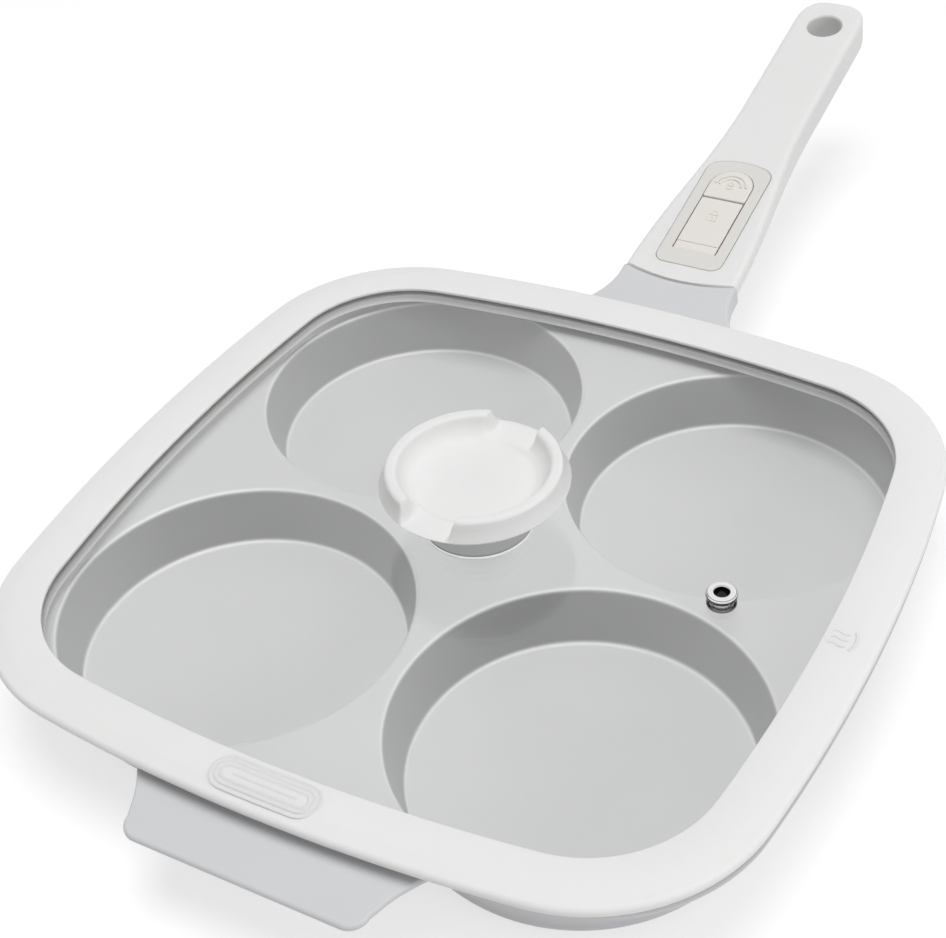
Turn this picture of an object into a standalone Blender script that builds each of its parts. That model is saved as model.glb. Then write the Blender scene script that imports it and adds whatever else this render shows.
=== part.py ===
"""Four-cup egg pan with a lift-off glass lid and a detachable handle.

Sizes are in millimetres until a mesh is made. +Z is up, the handle points to +Y, and the four base
discs stand on z = 0. The root empty is moved last, so that the origin is at the middle of the base.
"""
import math

import bmesh
import bpy
from mathutils import Matrix, Vector, geometry

MM = 0.001
FIT = 0.3                       # gap between pieces that touch
SLIDE_FIT = 0.35                # gap beside a piece that slides
PIN_FIT = 0.15                  # gap round a pin that turns
EDGE_BREAK = 0.4                # small bevel on cast and moulded edges
FINE_BREAK = 0.3                # the same on thin plates
CUT_RUN = 1.0                   # how far a cutter runs past the face that it opens

# Cups
CUP_FLOOR_RADIUS = 50.0
CUP_FLARE = 3.2                 # how much wider a cup is at its rim
CUP_BRIDGE = 6.6                # deck between the rims of two cups
CUP_MARGIN_X = 2.7              # flat deck beyond the cups' rims
CUP_MARGIN_Y = 1.9
CUP_FLOOR_Z = 5.5
CUP_DEPTH = 18.5
CUP_WALL = 2.4
CUP_WALL_TAPER = 0.4
CUP_RIM_FILLET = 1.8
CUP_FLOOR_FILLET = 2.0
CUP_HEEL_RADIUS = 8.0           # rounding under the cup
CUP_SKIRT = 0.6                 # straight part of the cup's outside below the deck
DECK_THICKNESS = 2.8
BASE_STANDOFF = 0.5
DISC_INSET = 10.0
DISC_THICKNESS = 1.5

# Pan wall and flange, as offsets from the rounded square that the lid opening also follows
OPENING_SIDE_RADIUS = 567.0
OPENING_CORNER_RADIUS = 38.4
DECK_FILLET = 3.0
DECK_EDGE = 2.4
DECK_UNDER_FILLET = 1.2
WALL_HEIGHT = 4.9
WALL_LEAN = 1.6
WALL_THICKNESS = 2.8
FLANGE_THICKNESS = 2.4
FLANGE_REACH = 2.2

# Helper lip at the front
LIP_ROOT_HALF = 46.0
LIP_TIP_HALF = 37.5
LIP_WAIST = 1.0                 # how far its sides draw in between root and tip
LIP_LENGTH = 22.5
LIP_CORNER = 6.5
LIP_THICKNESS = 3.0
LIP_STEP = 0.2
LIP_DROP = 1.8

# Lid
LID_SHORTER = 1.7               # how much closer than the pan's its front and back edges are
LID_PLAY = 3.2                  # room that the locating lip has inside the pan wall
LID_SHIFT_Y = -2.1              # the lid lies off centre within its play
RIM_PROUD = 0.4                 # how far the rim's seat reaches past the flange
RIM_BRIM = 3.0                  # how far its top overhangs the seat
RIM_EDGE = 1.8                  # radius of the overhanging edge
RIM_EDGE_END = -30.0            # angle at which that radius runs into the undercut
RIM_CROWN = 0.35
RIM_COVER = 5.0                 # how far the rim reaches over the glass
RIM_OVER_GLASS = 1.3
RIM_UNDER_GLASS = 1.6
RIM_LIP_DEPTH = 1.9
RIM_LIP_STEP = 0.9
RIM_LIP_BREAK = 0.5
GLASS_THICKNESS = 3.2
GLASS_EDGE = 0.5

# Knob, heights above the glass
KNOB_NECK_RADIUS = 12.5
KNOB_FOOT_FLARE = 4.3
KNOB_FOOT_CURVE = 1.6
KNOB_FOOT_CURVE_RISE = 1.8
KNOB_FOOT_EDGE = 0.5
KNOB_NECK_SHARE = 0.62          # height of the narrowest place as a share of the split height
KNOB_EDGE_RADIUS = 28.7
KNOB_EDGE_RISE = 0.8            # rises are measured from the dish floor
KNOB_CREST_INSET = 2.7
KNOB_CREST_RISE = 6.8
KNOB_CREST_BAND = 2.6
KNOB_CREST_FALL = 0.9
KNOB_DISH_SLOPE = 7.5           # from the crest in to the floor, across
KNOB_FLOOR_RISE = 7.6           # from the split up to the floor
KNOB_FLOOR_SKIN = 1.7
KNOB_FLOOR_FILLET = 1.0
KNOB_UNDER_RISE = 1.2
KNOB_UNDER_DROP = 4.2
KNOB_COLLAR = 2.0
KNOB_COLLAR_RISE = 1.6
KNOB_SPLIT_HEIGHT = 9.0
KNOB_GAP_WIDTH = 17.5
KNOB_GAP_TURN = -4.0            # from the pan's own long axis
KNOB_SCREW_RADIUS = 2.0
KNOB_SCREW_SHORT = 2.0          # how far the screw ends below the insert's top
KNOB_SCREW_HEAD_RADIUS = 4.6
KNOB_SCREW_HEAD = 2.2
SCREW_HEAD_SHARES = ((1.0, 0.0), (1.0, 0.5), (0.6, 1.0))
KNOB_WASHER_RADIUS = 8.0
KNOB_WASHER_THICKNESS = 1.2
KNOB_GASKET_THICKNESS = 0.8
KNOB_GASKET_INSET = 0.6
KNOB_INSERT_RADIUS = 4.5

# Steam vent
VENT_INSET = 31.5               # from the side of the opening to the vent's axis
VENT_HOLE_RADIUS = 2.2
VENT_WALL = 1.0
VENT_FLANGE = 1.6
VENT_BEVEL = 0.6
VENT_HEIGHT = 2.2
VENT_TAIL = 2.6
VENT_FERRULE_FLANGE = 2.4
VENT_FERRULE_HEIGHT = 1.6

# Handle, in its own frame: y runs along the top face from the seam, z is up from the top face
HANDLE_RISE = math.atan(0.199)
SEAM_BOW = 3.3
HANDLE_FRONT_HALF = 21.4
HANDLE_TAIL_HALF = 13.5
HANDLE_TAPER_LENGTH = 90.0
HANDLE_TAIL_SWELL = 1.4         # how much deeper it is at the tail
HANDLE_EDGE = 1.6
HANDLE_WALL = 2.0
HANDLE_FRONT_INSET = 1.0
HOLE_Y = 151.4
HOLE_RADIUS = 6.9
HOLE_CHAMFER = 1.0
BELLY_FRONT = 14.0
BELLY_TAIL = 6.0
SIDE_FRONT = 2.4
SIDE_TAIL = 9.0
CAVITY_START = 3.0
CAVITY_TAIL = 27.4              # solid length from the cavity's end to the hang hole's axis
COVER_START = 15.0
COVER_TAIL = 2.0
COVER_INSET = 4.6
COVER_TOP_ROOM = 4.0
COVER_SCREW_LEAD = 6.0          # from the panel's end to the first screw
COVER_SCREW_END = 6.5           # from the last screw to the cover's end
COVER_SCREW_COUNT = 3
COVER_SCREW_RADIUS = 1.2
COVER_SCREW_START = 3.0         # below the handle's top wall
COVER_PILOT_START = 2.0
COVER_SCREW_HEAD_RADIUS = 2.4
COVER_SCREW_HEAD = 1.0
COVER_SCREW_SINK = 0.1
COVER_BOSS_RADIUS = 3.2
COVER_BOSS_ROOT = 0.5
MOUTH_FIT = 0.5

# Lug on the pan, and the tongue riveted into it
LUG_LENGTH = 31.2               # from the pan's opening to the seam
LUG_ROOT = 7.3                  # from the pan's opening to where the lug starts, inside the wall
LUG_RISE = 4.4                  # height of the seam above the flange
LUG_PROUD = 0.4                 # how much wider than the handle it is at the seam
LUG_FLARE = 13.0
LUG_THICKNESS = 8.6
LUG_EDGE = 1.8
LUG_END_SHARE = 0.3             # how much of its edge rounding the lug's end face has
TONGUE_HALF = 9.0
TONGUE_THICKNESS = 2.4
TONGUE_LUG_DEPTH = 4.0
TONGUE_HANDLE_DEPTH = 7.4
TONGUE_STEP_START = 1.2
TONGUE_STEP_LENGTH = 4.4
TONGUE_BEND_SHARE = 0.4         # of its thickness
TONGUE_REACH = 38.0
TONGUE_ROOT = 17.0
RIVET_RADIUS = 1.9
RIVET_HEAD_RADIUS = 3.6
RIVET_HEAD = 1.2
RIVET_HEAD_SHARES = ((1.0, 0.0), (0.8, 0.7), (0.4, 1.0))
RIVET_X = 5.0
RIVET_Y = -9.0
RIVET_END = 0.4
RIVET_HOLE_END = 0.5

# Cream panel in the top of the handle
PANEL_START = 8.3
PANEL_TAIL = 5.8                # from the button's end to the panel's end
PANEL_BORDER = 4.6              # beside the lever
PANEL_CORNER = 4.0
PANEL_TAIL_CORNER = 5.6
PANEL_TAIL_ARCH = 1.2
PANEL_TAIL_ANGLE = 70
PANEL_THICKNESS = 3.0

# Lock lever, release button and clamp
LEVER_PIVOT_Y = 16.7
LEVER_PIVOT_DEPTH = 1.5
LEVER_END = 43.9
LEVER_HALF = 8.0
LEVER_THICKNESS = 2.6
LEVER_SLIT = 0.5
LEVER_FRONT_SLIT = 0.9
LEVER_RIDGE = 0.5
LEVER_RIDGE_FRONT = 0.6
LEVER_RIDGE_BACK = 1.6
LEVER_RIDGE_Y = 18.7
LEVER_END_BEVEL = 0.5
LEVER_FACE = 0.2                # how far the lever stands above the panel
PIN_RADIUS = 0.7
PIN_SEAT_FIT = 0.25
PIN_COVER = 1.6                 # panel left beyond each end of the pin
CAM_RADIUS = 2.2
CAM_OFFSET = 1.0
CAM_ANGLE = math.radians(-60.0)
CAM_INSET = 2.0
BUTTON_CENTRE_Y = 51.7
BUTTON_HEIGHT = 0.5
BUTTON_THICKNESS = 3.4
BUTTON_EDGE = 0.6
BUTTON_GAP = 0.5
BUTTON_STEM_RADIUS = 1.5
BUTTON_STEM_LENGTH = 3.0
SHOE_LEAD = 1.0
SHOE_SPRING_SEAT = 2.2
SHOE_INSET = 0.4
FRAME_START = 12.5
FRAME_TAIL = 2.5
FRAME_RAIL = 1.5
FRAME_BASE = 1.5
FRAME_CHAMFER = 2.0
FRAME_ROOM = 0.6                # left between the frame and the handle's floor
SPRING_WIRE = 0.35
SPRING_TURN_POINTS = 9
BUTTON_SPRING_RADIUS = 2.6
BUTTON_SPRING_TURNS = 4
CLAMP_SPRING_RADIUS = 1.6
CLAMP_SPRING_TURNS = 2
CLAMP_SPRING_LEAD = 2.8         # from the tongue's end to the spring's axis

# Facet counts, and how far off its plane a point of a flat cap may lie
FLATNESS = 0.0001
CUP_STEPS = 32
ROUND_STEPS = 24
SMALL_STEPS = 12
SIDE_POINTS = 3
CORNER_POINTS = 5
LUG_STATIONS = 6
HANDLE_STATIONS = 9
COVER_STATIONS = 8
TAIL_STEPS = 6
ARC_STEPS = 4
FILLET_STEPS = 3
SEAM_SHARES = (0.0, 0.35, 0.7, 1.0)
SHARP_ANGLE = math.radians(32)

# Sizes that follow from the ones above: cups and pan
CUP_RIM_RADIUS = CUP_FLOOR_RADIUS + CUP_FLARE
CUP_HALF_PITCH = CUP_RIM_RADIUS + CUP_BRIDGE / 2
CUPS_HALF = CUP_HALF_PITCH + CUP_RIM_RADIUS
OPENING_HALF_X = CUPS_HALF + CUP_MARGIN_X - DECK_EDGE
PAN_HALF_Y = CUPS_HALF + CUP_MARGIN_Y - DECK_EDGE
DISC_RADIUS = CUP_FLOOR_RADIUS - DISC_INSET
DECK_Z = CUP_FLOOR_Z + CUP_DEPTH
DECK_UNDER_Z = DECK_Z - DECK_THICKNESS
WALL_FOOT = DECK_EDGE + DECK_FILLET
WALL_TOP = WALL_FOOT + WALL_LEAN
WALL_OUT = WALL_TOP + WALL_THICKNESS
FLANGE_OUT = WALL_OUT + FLANGE_REACH
FLANGE_Z = DECK_Z + WALL_HEIGHT

# Lid and knob
LID_HALF_Y = PAN_HALF_Y - LID_SHORTER
LID_SHIFT_X = FIT - LID_PLAY
RIM_SEAT_OUT = FLANGE_OUT + RIM_PROUD
RIM_WIDTH = RIM_SEAT_OUT + RIM_BRIM
RIM_LIP_OUT = WALL_FOOT - LID_PLAY
GLASS_UNDER_Z = FLANGE_Z + RIM_UNDER_GLASS
GLASS_TOP_Z = GLASS_UNDER_Z + GLASS_THICKNESS
RIM_TOP_Z = GLASS_TOP_Z + RIM_OVER_GLASS
KNOB_FOOT_RADIUS = KNOB_NECK_RADIUS + KNOB_FOOT_FLARE
KNOB_CREST_RADIUS = KNOB_EDGE_RADIUS - KNOB_CREST_INSET
KNOB_FLOOR_RADIUS = KNOB_CREST_RADIUS - KNOB_DISH_SLOPE
KNOB_FLOOR_HEIGHT = KNOB_SPLIT_HEIGHT + KNOB_FLOOR_RISE
KNOB_EDGE_HEIGHT = KNOB_FLOOR_HEIGHT + KNOB_EDGE_RISE
KNOB_CREST_HEIGHT = KNOB_FLOOR_HEIGHT + KNOB_CREST_RISE
KNOB_INSERT_TOP = KNOB_FLOOR_HEIGHT - KNOB_FLOOR_SKIN - FIT
VENT_X = OPENING_HALF_X - VENT_INSET
VENT_BARREL_RADIUS = VENT_HOLE_RADIUS + VENT_WALL
VENT_RADIUS = VENT_BARREL_RADIUS + VENT_FLANGE
VENT_FERRULE_RADIUS = VENT_BARREL_RADIUS + VENT_FERRULE_FLANGE

# Handle, lug and mechanism
SEAM_Y = PAN_HALF_Y + LUG_LENGTH
SEAM_Z = FLANGE_Z + LUG_RISE
LUG_HALF = HANDLE_FRONT_HALF + LUG_PROUD
LUG_ROOT_Y = PAN_HALF_Y + LUG_ROOT
PANEL_END = BUTTON_CENTRE_Y + LEVER_HALF + PANEL_TAIL
PANEL_HALF = LEVER_HALF + PANEL_BORDER
PIN_REACH = PANEL_HALF - PIN_COVER
LEVER_FRONT_RADIUS = LEVER_PIVOT_DEPTH
CAM_HALF = LEVER_HALF - CAM_INSET
CAM_Y = CAM_OFFSET * math.cos(CAM_ANGLE)
CAM_DROP = CAM_RADIUS - CAM_OFFSET * math.sin(CAM_ANGLE)
SHOE_TOP_DEPTH = LEVER_PIVOT_DEPTH + CAM_DROP + FIT
SHOE_BOTTOM_DEPTH = TONGUE_HANDLE_DEPTH - FIT
CLAMP_SPRING_Y = TONGUE_REACH + CLAMP_SPRING_LEAD
SHOE_START = FRAME_START + SHOE_LEAD
SHOE_END = CLAMP_SPRING_Y + SHOE_SPRING_SEAT
SHOE_HALF = TONGUE_HALF - SHOE_INSET
FRAME_END = PANEL_END - FRAME_TAIL
FRAME_TOP_DEPTH = PANEL_THICKNESS + FIT
FRAME_FLOOR_DEPTH = TONGUE_HANDLE_DEPTH + TONGUE_THICKNESS + FIT
FRAME_HALF = TONGUE_HALF + SLIDE_FIT + FRAME_RAIL
HANDLE_DEPTH = FRAME_FLOOR_DEPTH + FRAME_BASE + FRAME_ROOM + HANDLE_WALL
HANDLE_TAIL_DEPTH = HANDLE_DEPTH + HANDLE_TAIL_SWELL
CAVITY_END = HOLE_Y - CAVITY_TAIL
COVER_END = CAVITY_END - COVER_TAIL
COVER_SCREW_FIRST = PANEL_END + COVER_SCREW_LEAD
COVER_SCREW_SPACING = (COVER_END - COVER_SCREW_END - COVER_SCREW_FIRST) / (COVER_SCREW_COUNT - 1)

COLOURS = {
    "coated_metal": ((0.66, 0.66, 0.67), 0.38, 0.0),
    "steel": ((0.60, 0.60, 0.61), 0.30, 1.0),
    "brass": ((0.72, 0.55, 0.25), 0.30, 1.0),
    "glass": ((0.86, 0.90, 0.91), 0.05, 0.0),
    "silicone": ((0.84, 0.84, 0.82), 0.50, 0.0),
    "white_plastic": ((0.86, 0.86, 0.85), 0.32, 0.0),
    "cream_plastic": ((0.78, 0.74, 0.69), 0.35, 0.0),
    "inner_plastic": ((0.42, 0.42, 0.43), 0.50, 0.0),
}


def clear_scene():
    for obj in list(bpy.data.objects):
        bpy.data.objects.remove(obj, do_unlink=True)


def material(name):
    """Return the named Principled material, making it the first time."""
    found = bpy.data.materials.get(name)
    if found:
        return found
    colour, roughness, metallic = COLOURS[name]
    made = bpy.data.materials.new(name)
    made.use_nodes = True
    shader = made.node_tree.nodes["Principled BSDF"]
    shader.inputs["Base Color"].default_value = (*colour, 1.0)
    shader.inputs["Roughness"].default_value = roughness
    shader.inputs["Metallic"].default_value = metallic
    if name == "glass":
        shader.inputs["Transmission Weight"].default_value = 0.95
    made.diffuse_color = (*colour, 1.0)
    return made


def empty(name, location=(0, 0, 0), tilt=0.0, parent=None):
    obj = bpy.data.objects.new(name, None)
    obj.empty_display_size = 0.02
    obj.location = Vector(location) * MM
    obj.rotation_euler = (tilt, 0, 0)
    obj.parent = parent
    bpy.context.collection.objects.link(obj)
    return obj


def arc(centre, radius, start, end, count):
    """Points of an arc, both ends included. Angles are in degrees."""
    points = []
    for i in range(count + 1):
        angle = math.radians(start + (end - start) * i / count)
        points.append((centre[0] + radius * math.cos(angle), centre[1] + radius * math.sin(angle)))
    return points


def circle(radius, steps, centre=(0, 0)):
    """A closed ring of points that starts at its +Y end and is the same on both sides of its X."""
    angles = [math.tau * i / steps for i in range(steps)]
    return [(centre[0] + radius * math.sin(a), centre[1] + radius * math.cos(a)) for a in angles]


def mirrored(half):
    """Close a right-hand outline, whose ends lie on x = 0, with its mirror image."""
    return half + [(-x, y) for x, y in reversed(half[1:-1])]


def at_height(loop, z):
    return [(x, y, z) for x, y in loop]


def rounded_square(half_x, half_y, side_radius, corner_radius):
    """A square with bowed sides and round corners, every stretch an arc that meets the next smoothly."""
    right = (half_x - side_radius, 0.0)
    top = (0.0, half_y - side_radius)
    span = side_radius - corner_radius
    middle = Vector(((right[0] + top[0]) / 2, (right[1] + top[1]) / 2))
    across = Vector((right[0] - top[0], right[1] - top[1]))
    along = Vector((-across.y, across.x)).normalized()
    if along.x < 0:
        along = -along
    corner = middle + along * math.sqrt(span ** 2 - (across.length / 2) ** 2)
    side_angle = math.degrees(math.atan2(corner.y - right[1], corner.x - right[0]))
    top_angle = math.degrees(math.atan2(corner.y - top[1], corner.x - top[0]))
    quarter = arc(top, side_radius, 90, top_angle, SIDE_POINTS)
    quarter += arc(corner, corner_radius, top_angle, side_angle, CORNER_POINTS)[1:]
    quarter += arc(right, side_radius, side_angle, 0, SIDE_POINTS)[1:]
    return mirrored(quarter + [(x, -y) for x, y in reversed(quarter[:-1])])


def pan_loop(offset, z):
    loop = rounded_square(
        OPENING_HALF_X + offset, PAN_HALF_Y + offset,
        OPENING_SIDE_RADIUS + offset, OPENING_CORNER_RADIUS + offset,
    )
    return at_height(loop, z)


def lid_loop(offset, z):
    loop = rounded_square(
        OPENING_HALF_X + offset, LID_HALF_Y + offset,
        OPENING_SIDE_RADIUS + offset, OPENING_CORNER_RADIUS + offset,
    )
    return at_height(loop, z)


def turned(profile, steps, centre=(0, 0)):
    """Rings of a turned shape from its (radius, height) profile."""
    return [at_height(circle(radius, steps, centre), z) for radius, z in profile]


def spun(rings, degrees):
    """The same rings turned about the upright axis."""
    turn = Matrix.Rotation(math.radians(degrees), 3, "Z")
    return [[turn @ Vector(point) for point in ring] for ring in rings]


def is_flat(row):
    normal = geometry.normal([vertex.co for vertex in row])
    return all(abs((vertex.co - row[0].co).dot(normal)) < FLATNESS * MM for vertex in row)


def add_cap(bm, row):
    """Close a ring with one face if it is flat, or else with strips from its right side to its left."""
    if is_flat(row):
        bm.faces.new(row)
        return
    count = len(row)
    middle = count // 2
    bm.faces.new((row[0], row[1], row[-1]))
    for i in range(1, middle - 1):
        bm.faces.new((row[i], row[i + 1], row[count - i - 1], row[count - i]))
    bm.faces.new((row[middle - 1], row[middle], row[middle + 1]))


def add_shell(bm, rings, closed):
    """Bridge rings of equal length. An open stack gets a cap at each end."""
    count = len(rings[0])
    rows = [[bm.verts.new(Vector(point) * MM) for point in ring] for ring in rings]
    pairs = list(zip(rows, rows[1:]))
    if closed:
        pairs.append((rows[-1], rows[0]))
    for lower, upper in pairs:
        for i in range(count):
            j = (i + 1) % count
            bm.faces.new((lower[i], lower[j], upper[j], upper[i]))
    if not closed:
        add_cap(bm, rows[0])
        add_cap(bm, rows[-1])


def solid(name, stacks, finish, parent, location=(0, 0, 0), closed=False):
    """Make one object from stacks of rings, with its origin at location in its parent's frame."""
    bm = bmesh.new()
    for rings in stacks:
        add_shell(bm, rings, closed)
    twisted = [face for face in bm.faces if not is_flat(face.verts)]
    bmesh.ops.triangulate(bm, faces=twisted)
    bmesh.ops.recalc_face_normals(bm, faces=bm.faces)
    mesh = bpy.data.meshes.new(name)
    bm.to_mesh(mesh)
    bm.free()
    mesh.materials.append(material(finish))
    mesh.shade_smooth()
    mesh.set_sharp_from_angle(angle=SHARP_ANGLE)
    obj = bpy.data.objects.new(name, mesh)
    obj.location = Vector(location) * MM
    obj.parent = parent
    bpy.context.collection.objects.link(obj)
    return obj


def cutter(name, stacks, parent, location=(0, 0, 0)):
    """A hidden shape that another object's Boolean uses."""
    obj = solid(name, stacks, "inner_plastic", parent, location)
    obj.hide_render = True
    obj.display_type = "WIRE"
    return obj


def boolean(target, operation, *tools):
    for tool in tools:
        step = target.modifiers.new(tool.name, "BOOLEAN")
        step.operation = operation
        step.solver = "EXACT"
        step.object = tool


def box(low, high):
    """Two rings for a block between two corners."""
    middle = (low[0] + high[0]) / 2
    loop = [(middle, high[1]), (high[0], high[1]), (high[0], low[1]), (middle, low[1]), (low[0], low[1])]
    loop.append((low[0], high[1]))
    return [at_height(loop, low[2]), at_height(loop, high[2])]


def side_view(lower, upper, half):
    """Rings across X for a plate whose (y, z) side view is two chains of points from front to back."""
    chain = lower + list(reversed(upper))
    return [[(x, y, z) for y, z in chain] for x in (-half, half)]


def spring(name, radius, turns, span, parent, location):
    """An unbroken helical wire that fills its span of height."""
    low, high = span[0] + SPRING_WIRE, span[1] - SPRING_WIRE
    curve = bpy.data.curves.new(name, "CURVE")
    curve.dimensions = "3D"
    curve.bevel_depth = SPRING_WIRE * MM
    curve.bevel_resolution = 1
    curve.use_fill_caps = True
    count = turns * SPRING_TURN_POINTS + 1
    line = curve.splines.new("POLY")
    line.points.add(count - 1)
    for i in range(count):
        angle = math.tau * i / SPRING_TURN_POINTS
        height = low + (high - low) * i / (count - 1)
        point = Vector((radius * math.cos(angle), radius * math.sin(angle), height)) * MM
        line.points[i].co = (*point, 1.0)
    curve.materials.append(material("steel"))
    obj = bpy.data.objects.new(name, curve)
    obj.location = Vector(location) * MM
    obj.parent = parent
    bpy.context.collection.objects.link(obj)
    return obj


def cup_centres():
    for y in (CUP_HALF_PITCH, -CUP_HALF_PITCH):
        for x in (-CUP_HALF_PITCH, CUP_HALF_PITCH):
            yield x, y


def tray_rings():
    """The pan without its cups, from the deck over the flange to the underside of the deck."""
    lean_start = DECK_Z + DECK_FILLET
    inner = arc((DECK_EDGE, lean_start), DECK_FILLET, -90, 0, FILLET_STEPS)
    inner += [(WALL_TOP - EDGE_BREAK, FLANGE_Z - EDGE_BREAK), (WALL_TOP, FLANGE_Z)]
    edge = FLANGE_THICKNESS / 2
    outer = arc((FLANGE_OUT - edge, FLANGE_Z - edge), edge, 90, -90, ARC_STEPS)
    outer.append((WALL_OUT, FLANGE_Z - FLANGE_THICKNESS - FINE_BREAK))
    outer.append((WALL_FOOT + EDGE_BREAK, DECK_UNDER_Z + DECK_UNDER_FILLET))
    outer.append((DECK_EDGE, DECK_UNDER_Z))
    return [pan_loop(offset, z) for offset, z in inner + outer]


def cup_outside(centre):
    heel = CUP_FLOOR_RADIUS + CUP_WALL - CUP_WALL_TAPER - CUP_HEEL_RADIUS
    profile = [(CUP_RIM_RADIUS + CUP_WALL, DECK_UNDER_Z + DECK_THICKNESS / 2)]
    profile += [(CUP_RIM_RADIUS + CUP_WALL, DECK_UNDER_Z - CUP_SKIRT)]
    profile += arc((heel, BASE_STANDOFF + CUP_HEEL_RADIUS), CUP_HEEL_RADIUS, 0, -90, ARC_STEPS)
    recess = DISC_RADIUS + FIT
    profile += [(recess, BASE_STANDOFF), (recess, DISC_THICKNESS + FIT)]
    return turned(profile, CUP_STEPS, centre)


def cup_inside(centre):
    rim = CUP_RIM_RADIUS + CUP_RIM_FILLET
    profile = [(rim, DECK_Z + DECK_FILLET)]
    profile += arc((rim, DECK_Z - CUP_RIM_FILLET), CUP_RIM_FILLET, 90, 180, FILLET_STEPS)
    floor = CUP_FLOOR_RADIUS - CUP_FLOOR_FILLET
    profile += arc((floor, CUP_FLOOR_Z + CUP_FLOOR_FILLET), CUP_FLOOR_FILLET, 0, -90, FILLET_STEPS)
    return turned(profile, CUP_STEPS, centre)


def lug_half(y):
    """Half-width of the lug, which flares towards the pan."""
    root = (LUG_ROOT_Y - SEAM_Y) / math.cos(HANDLE_RISE)
    share = min(max(y / root, 0.0), 1.0)
    return LUG_HALF + LUG_FLARE * share ** 2


def lug_loop(inset, depth):
    """Plan outline of the lug at one depth below the top face of the handle."""
    root = (LUG_ROOT_Y - SEAM_Y - depth * math.sin(HANDLE_RISE)) / math.cos(HANDLE_RISE)
    end_inset = FIT + LUG_END_SHARE * inset
    half = [(0.0, root)]
    for i in range(LUG_STATIONS):
        y = root * (1 - i / LUG_STATIONS)
        half.append((lug_half(y) - inset, y))
    width = LUG_HALF - inset
    for share in reversed(SEAM_SHARES):
        half.append((width * share, SEAM_BOW * share ** 2 - end_inset))
    return at_height(mirrored(half), -depth)


def lug_rings():
    corner = [(LUG_EDGE - y, LUG_EDGE - x) for x, y in arc((0, 0), LUG_EDGE, 0, 90, 2)]
    rings = [lug_loop(inset, depth) for inset, depth in corner]
    return rings + [lug_loop(inset, LUG_THICKNESS - depth) for inset, depth in reversed(corner)]


def lip_loop(inset, drop):
    """Plan outline of the helper lip, which slopes down away from the pan."""
    root = PAN_HALF_Y + FLANGE_OUT - FLANGE_THICKNESS
    tip = root + FLANGE_THICKNESS + LIP_LENGTH
    corner = LIP_CORNER
    half = [(0.0, root), (LIP_ROOT_HALF - inset, root)]
    half.append(((LIP_ROOT_HALF + LIP_TIP_HALF) / 2 - LIP_WAIST - inset, (root + tip) / 2 - corner / 2))
    half += arc((LIP_TIP_HALF - corner, tip - corner), corner - inset, 0, 90, ARC_STEPS)
    half.append((0.0, tip - inset))
    slope = LIP_DROP / (tip - root)
    return [(x, -y, FLANGE_Z - LIP_STEP - drop - slope * (y - root)) for x, y in mirrored(half)]


def lip_rings():
    edge = LIP_THICKNESS / 3
    return [
        lip_loop(edge, 0.0), lip_loop(0.0, edge),
        lip_loop(0.0, LIP_THICKNESS - edge), lip_loop(edge, LIP_THICKNESS),
    ]


def build_pan(pan, handle):
    body = solid("pan_body", [tray_rings()], "coated_metal", pan)
    outsides = cutter("cup_outsides", [cup_outside(c) for c in cup_centres()], pan)
    insides = cutter("cup_insides", [cup_inside(c) for c in cup_centres()], pan)
    lug = cutter("lug_shape", [lug_rings()], handle)
    lip = cutter("lip_shape", [lip_rings()], pan)
    pocket_low = (-TONGUE_HALF - FIT, -TONGUE_ROOT - FIT, -TONGUE_LUG_DEPTH - TONGUE_THICKNESS - FIT)
    pocket_high = (TONGUE_HALF + FIT, SEAM_BOW + CUT_RUN, -TONGUE_LUG_DEPTH + FIT)
    pocket = cutter("tongue_pocket", [box(pocket_low, pocket_high)], handle)
    hole = [(RIVET_RADIUS + FIT, -LUG_THICKNESS - CUT_RUN)]
    hole.append((RIVET_RADIUS + FIT, -TONGUE_LUG_DEPTH - RIVET_HOLE_END))
    stacks = [turned(hole, SMALL_STEPS, (x, RIVET_Y)) for x in (-RIVET_X, RIVET_X)]
    holes = cutter("rivet_holes", stacks, handle)
    boolean(body, "UNION", outsides, lug, lip)
    boolean(body, "DIFFERENCE", insides, pocket, holes)
    for number, centre in enumerate(cup_centres(), 1):
        profile = [(DISC_RADIUS - FINE_BREAK, 0), (DISC_RADIUS, FINE_BREAK), (DISC_RADIUS, DISC_THICKNESS)]
        solid(f"base_disc_{number}", [turned(profile, ROUND_STEPS)], "steel", pan, (*centre, 0))


def build_tongue(handle):
    """The steel tongue steps down from the lug into the handle."""
    low, high = -TONGUE_LUG_DEPTH, -TONGUE_HANDLE_DEPTH
    step_end = TONGUE_STEP_START + TONGUE_STEP_LENGTH
    upper = [(-TONGUE_ROOT, low), (TONGUE_STEP_START, low), (step_end, high), (TONGUE_REACH, high)]
    bend = TONGUE_THICKNESS * TONGUE_BEND_SHARE
    shifts = (0, bend, bend, 0)
    lower = [(y - shift, z - TONGUE_THICKNESS) for (y, z), shift in zip(upper, shifts)]
    tongue = solid("tongue", [side_view(lower, upper, TONGUE_HALF)], "steel", handle)
    hole = [(RIVET_RADIUS + FIT, low + CUT_RUN), (RIVET_RADIUS + FIT, low - TONGUE_THICKNESS - CUT_RUN)]
    stacks = [turned(hole, SMALL_STEPS, (x, RIVET_Y)) for x in (-RIVET_X, RIVET_X)]
    boolean(tongue, "DIFFERENCE", cutter("tongue_holes", stacks, handle))
    under = -LUG_THICKNESS - FIT
    profile = [(RIVET_RADIUS, low - RIVET_END), (RIVET_RADIUS, under)]
    for across, down in RIVET_HEAD_SHARES:
        profile.append((RIVET_HEAD_RADIUS * across, under - RIVET_HEAD * down))
    for number, x in enumerate((-RIVET_X, RIVET_X), 1):
        solid(f"tongue_rivet_{number}", [turned(profile, SMALL_STEPS)], "steel", handle, (x, RIVET_Y, 0))


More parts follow.
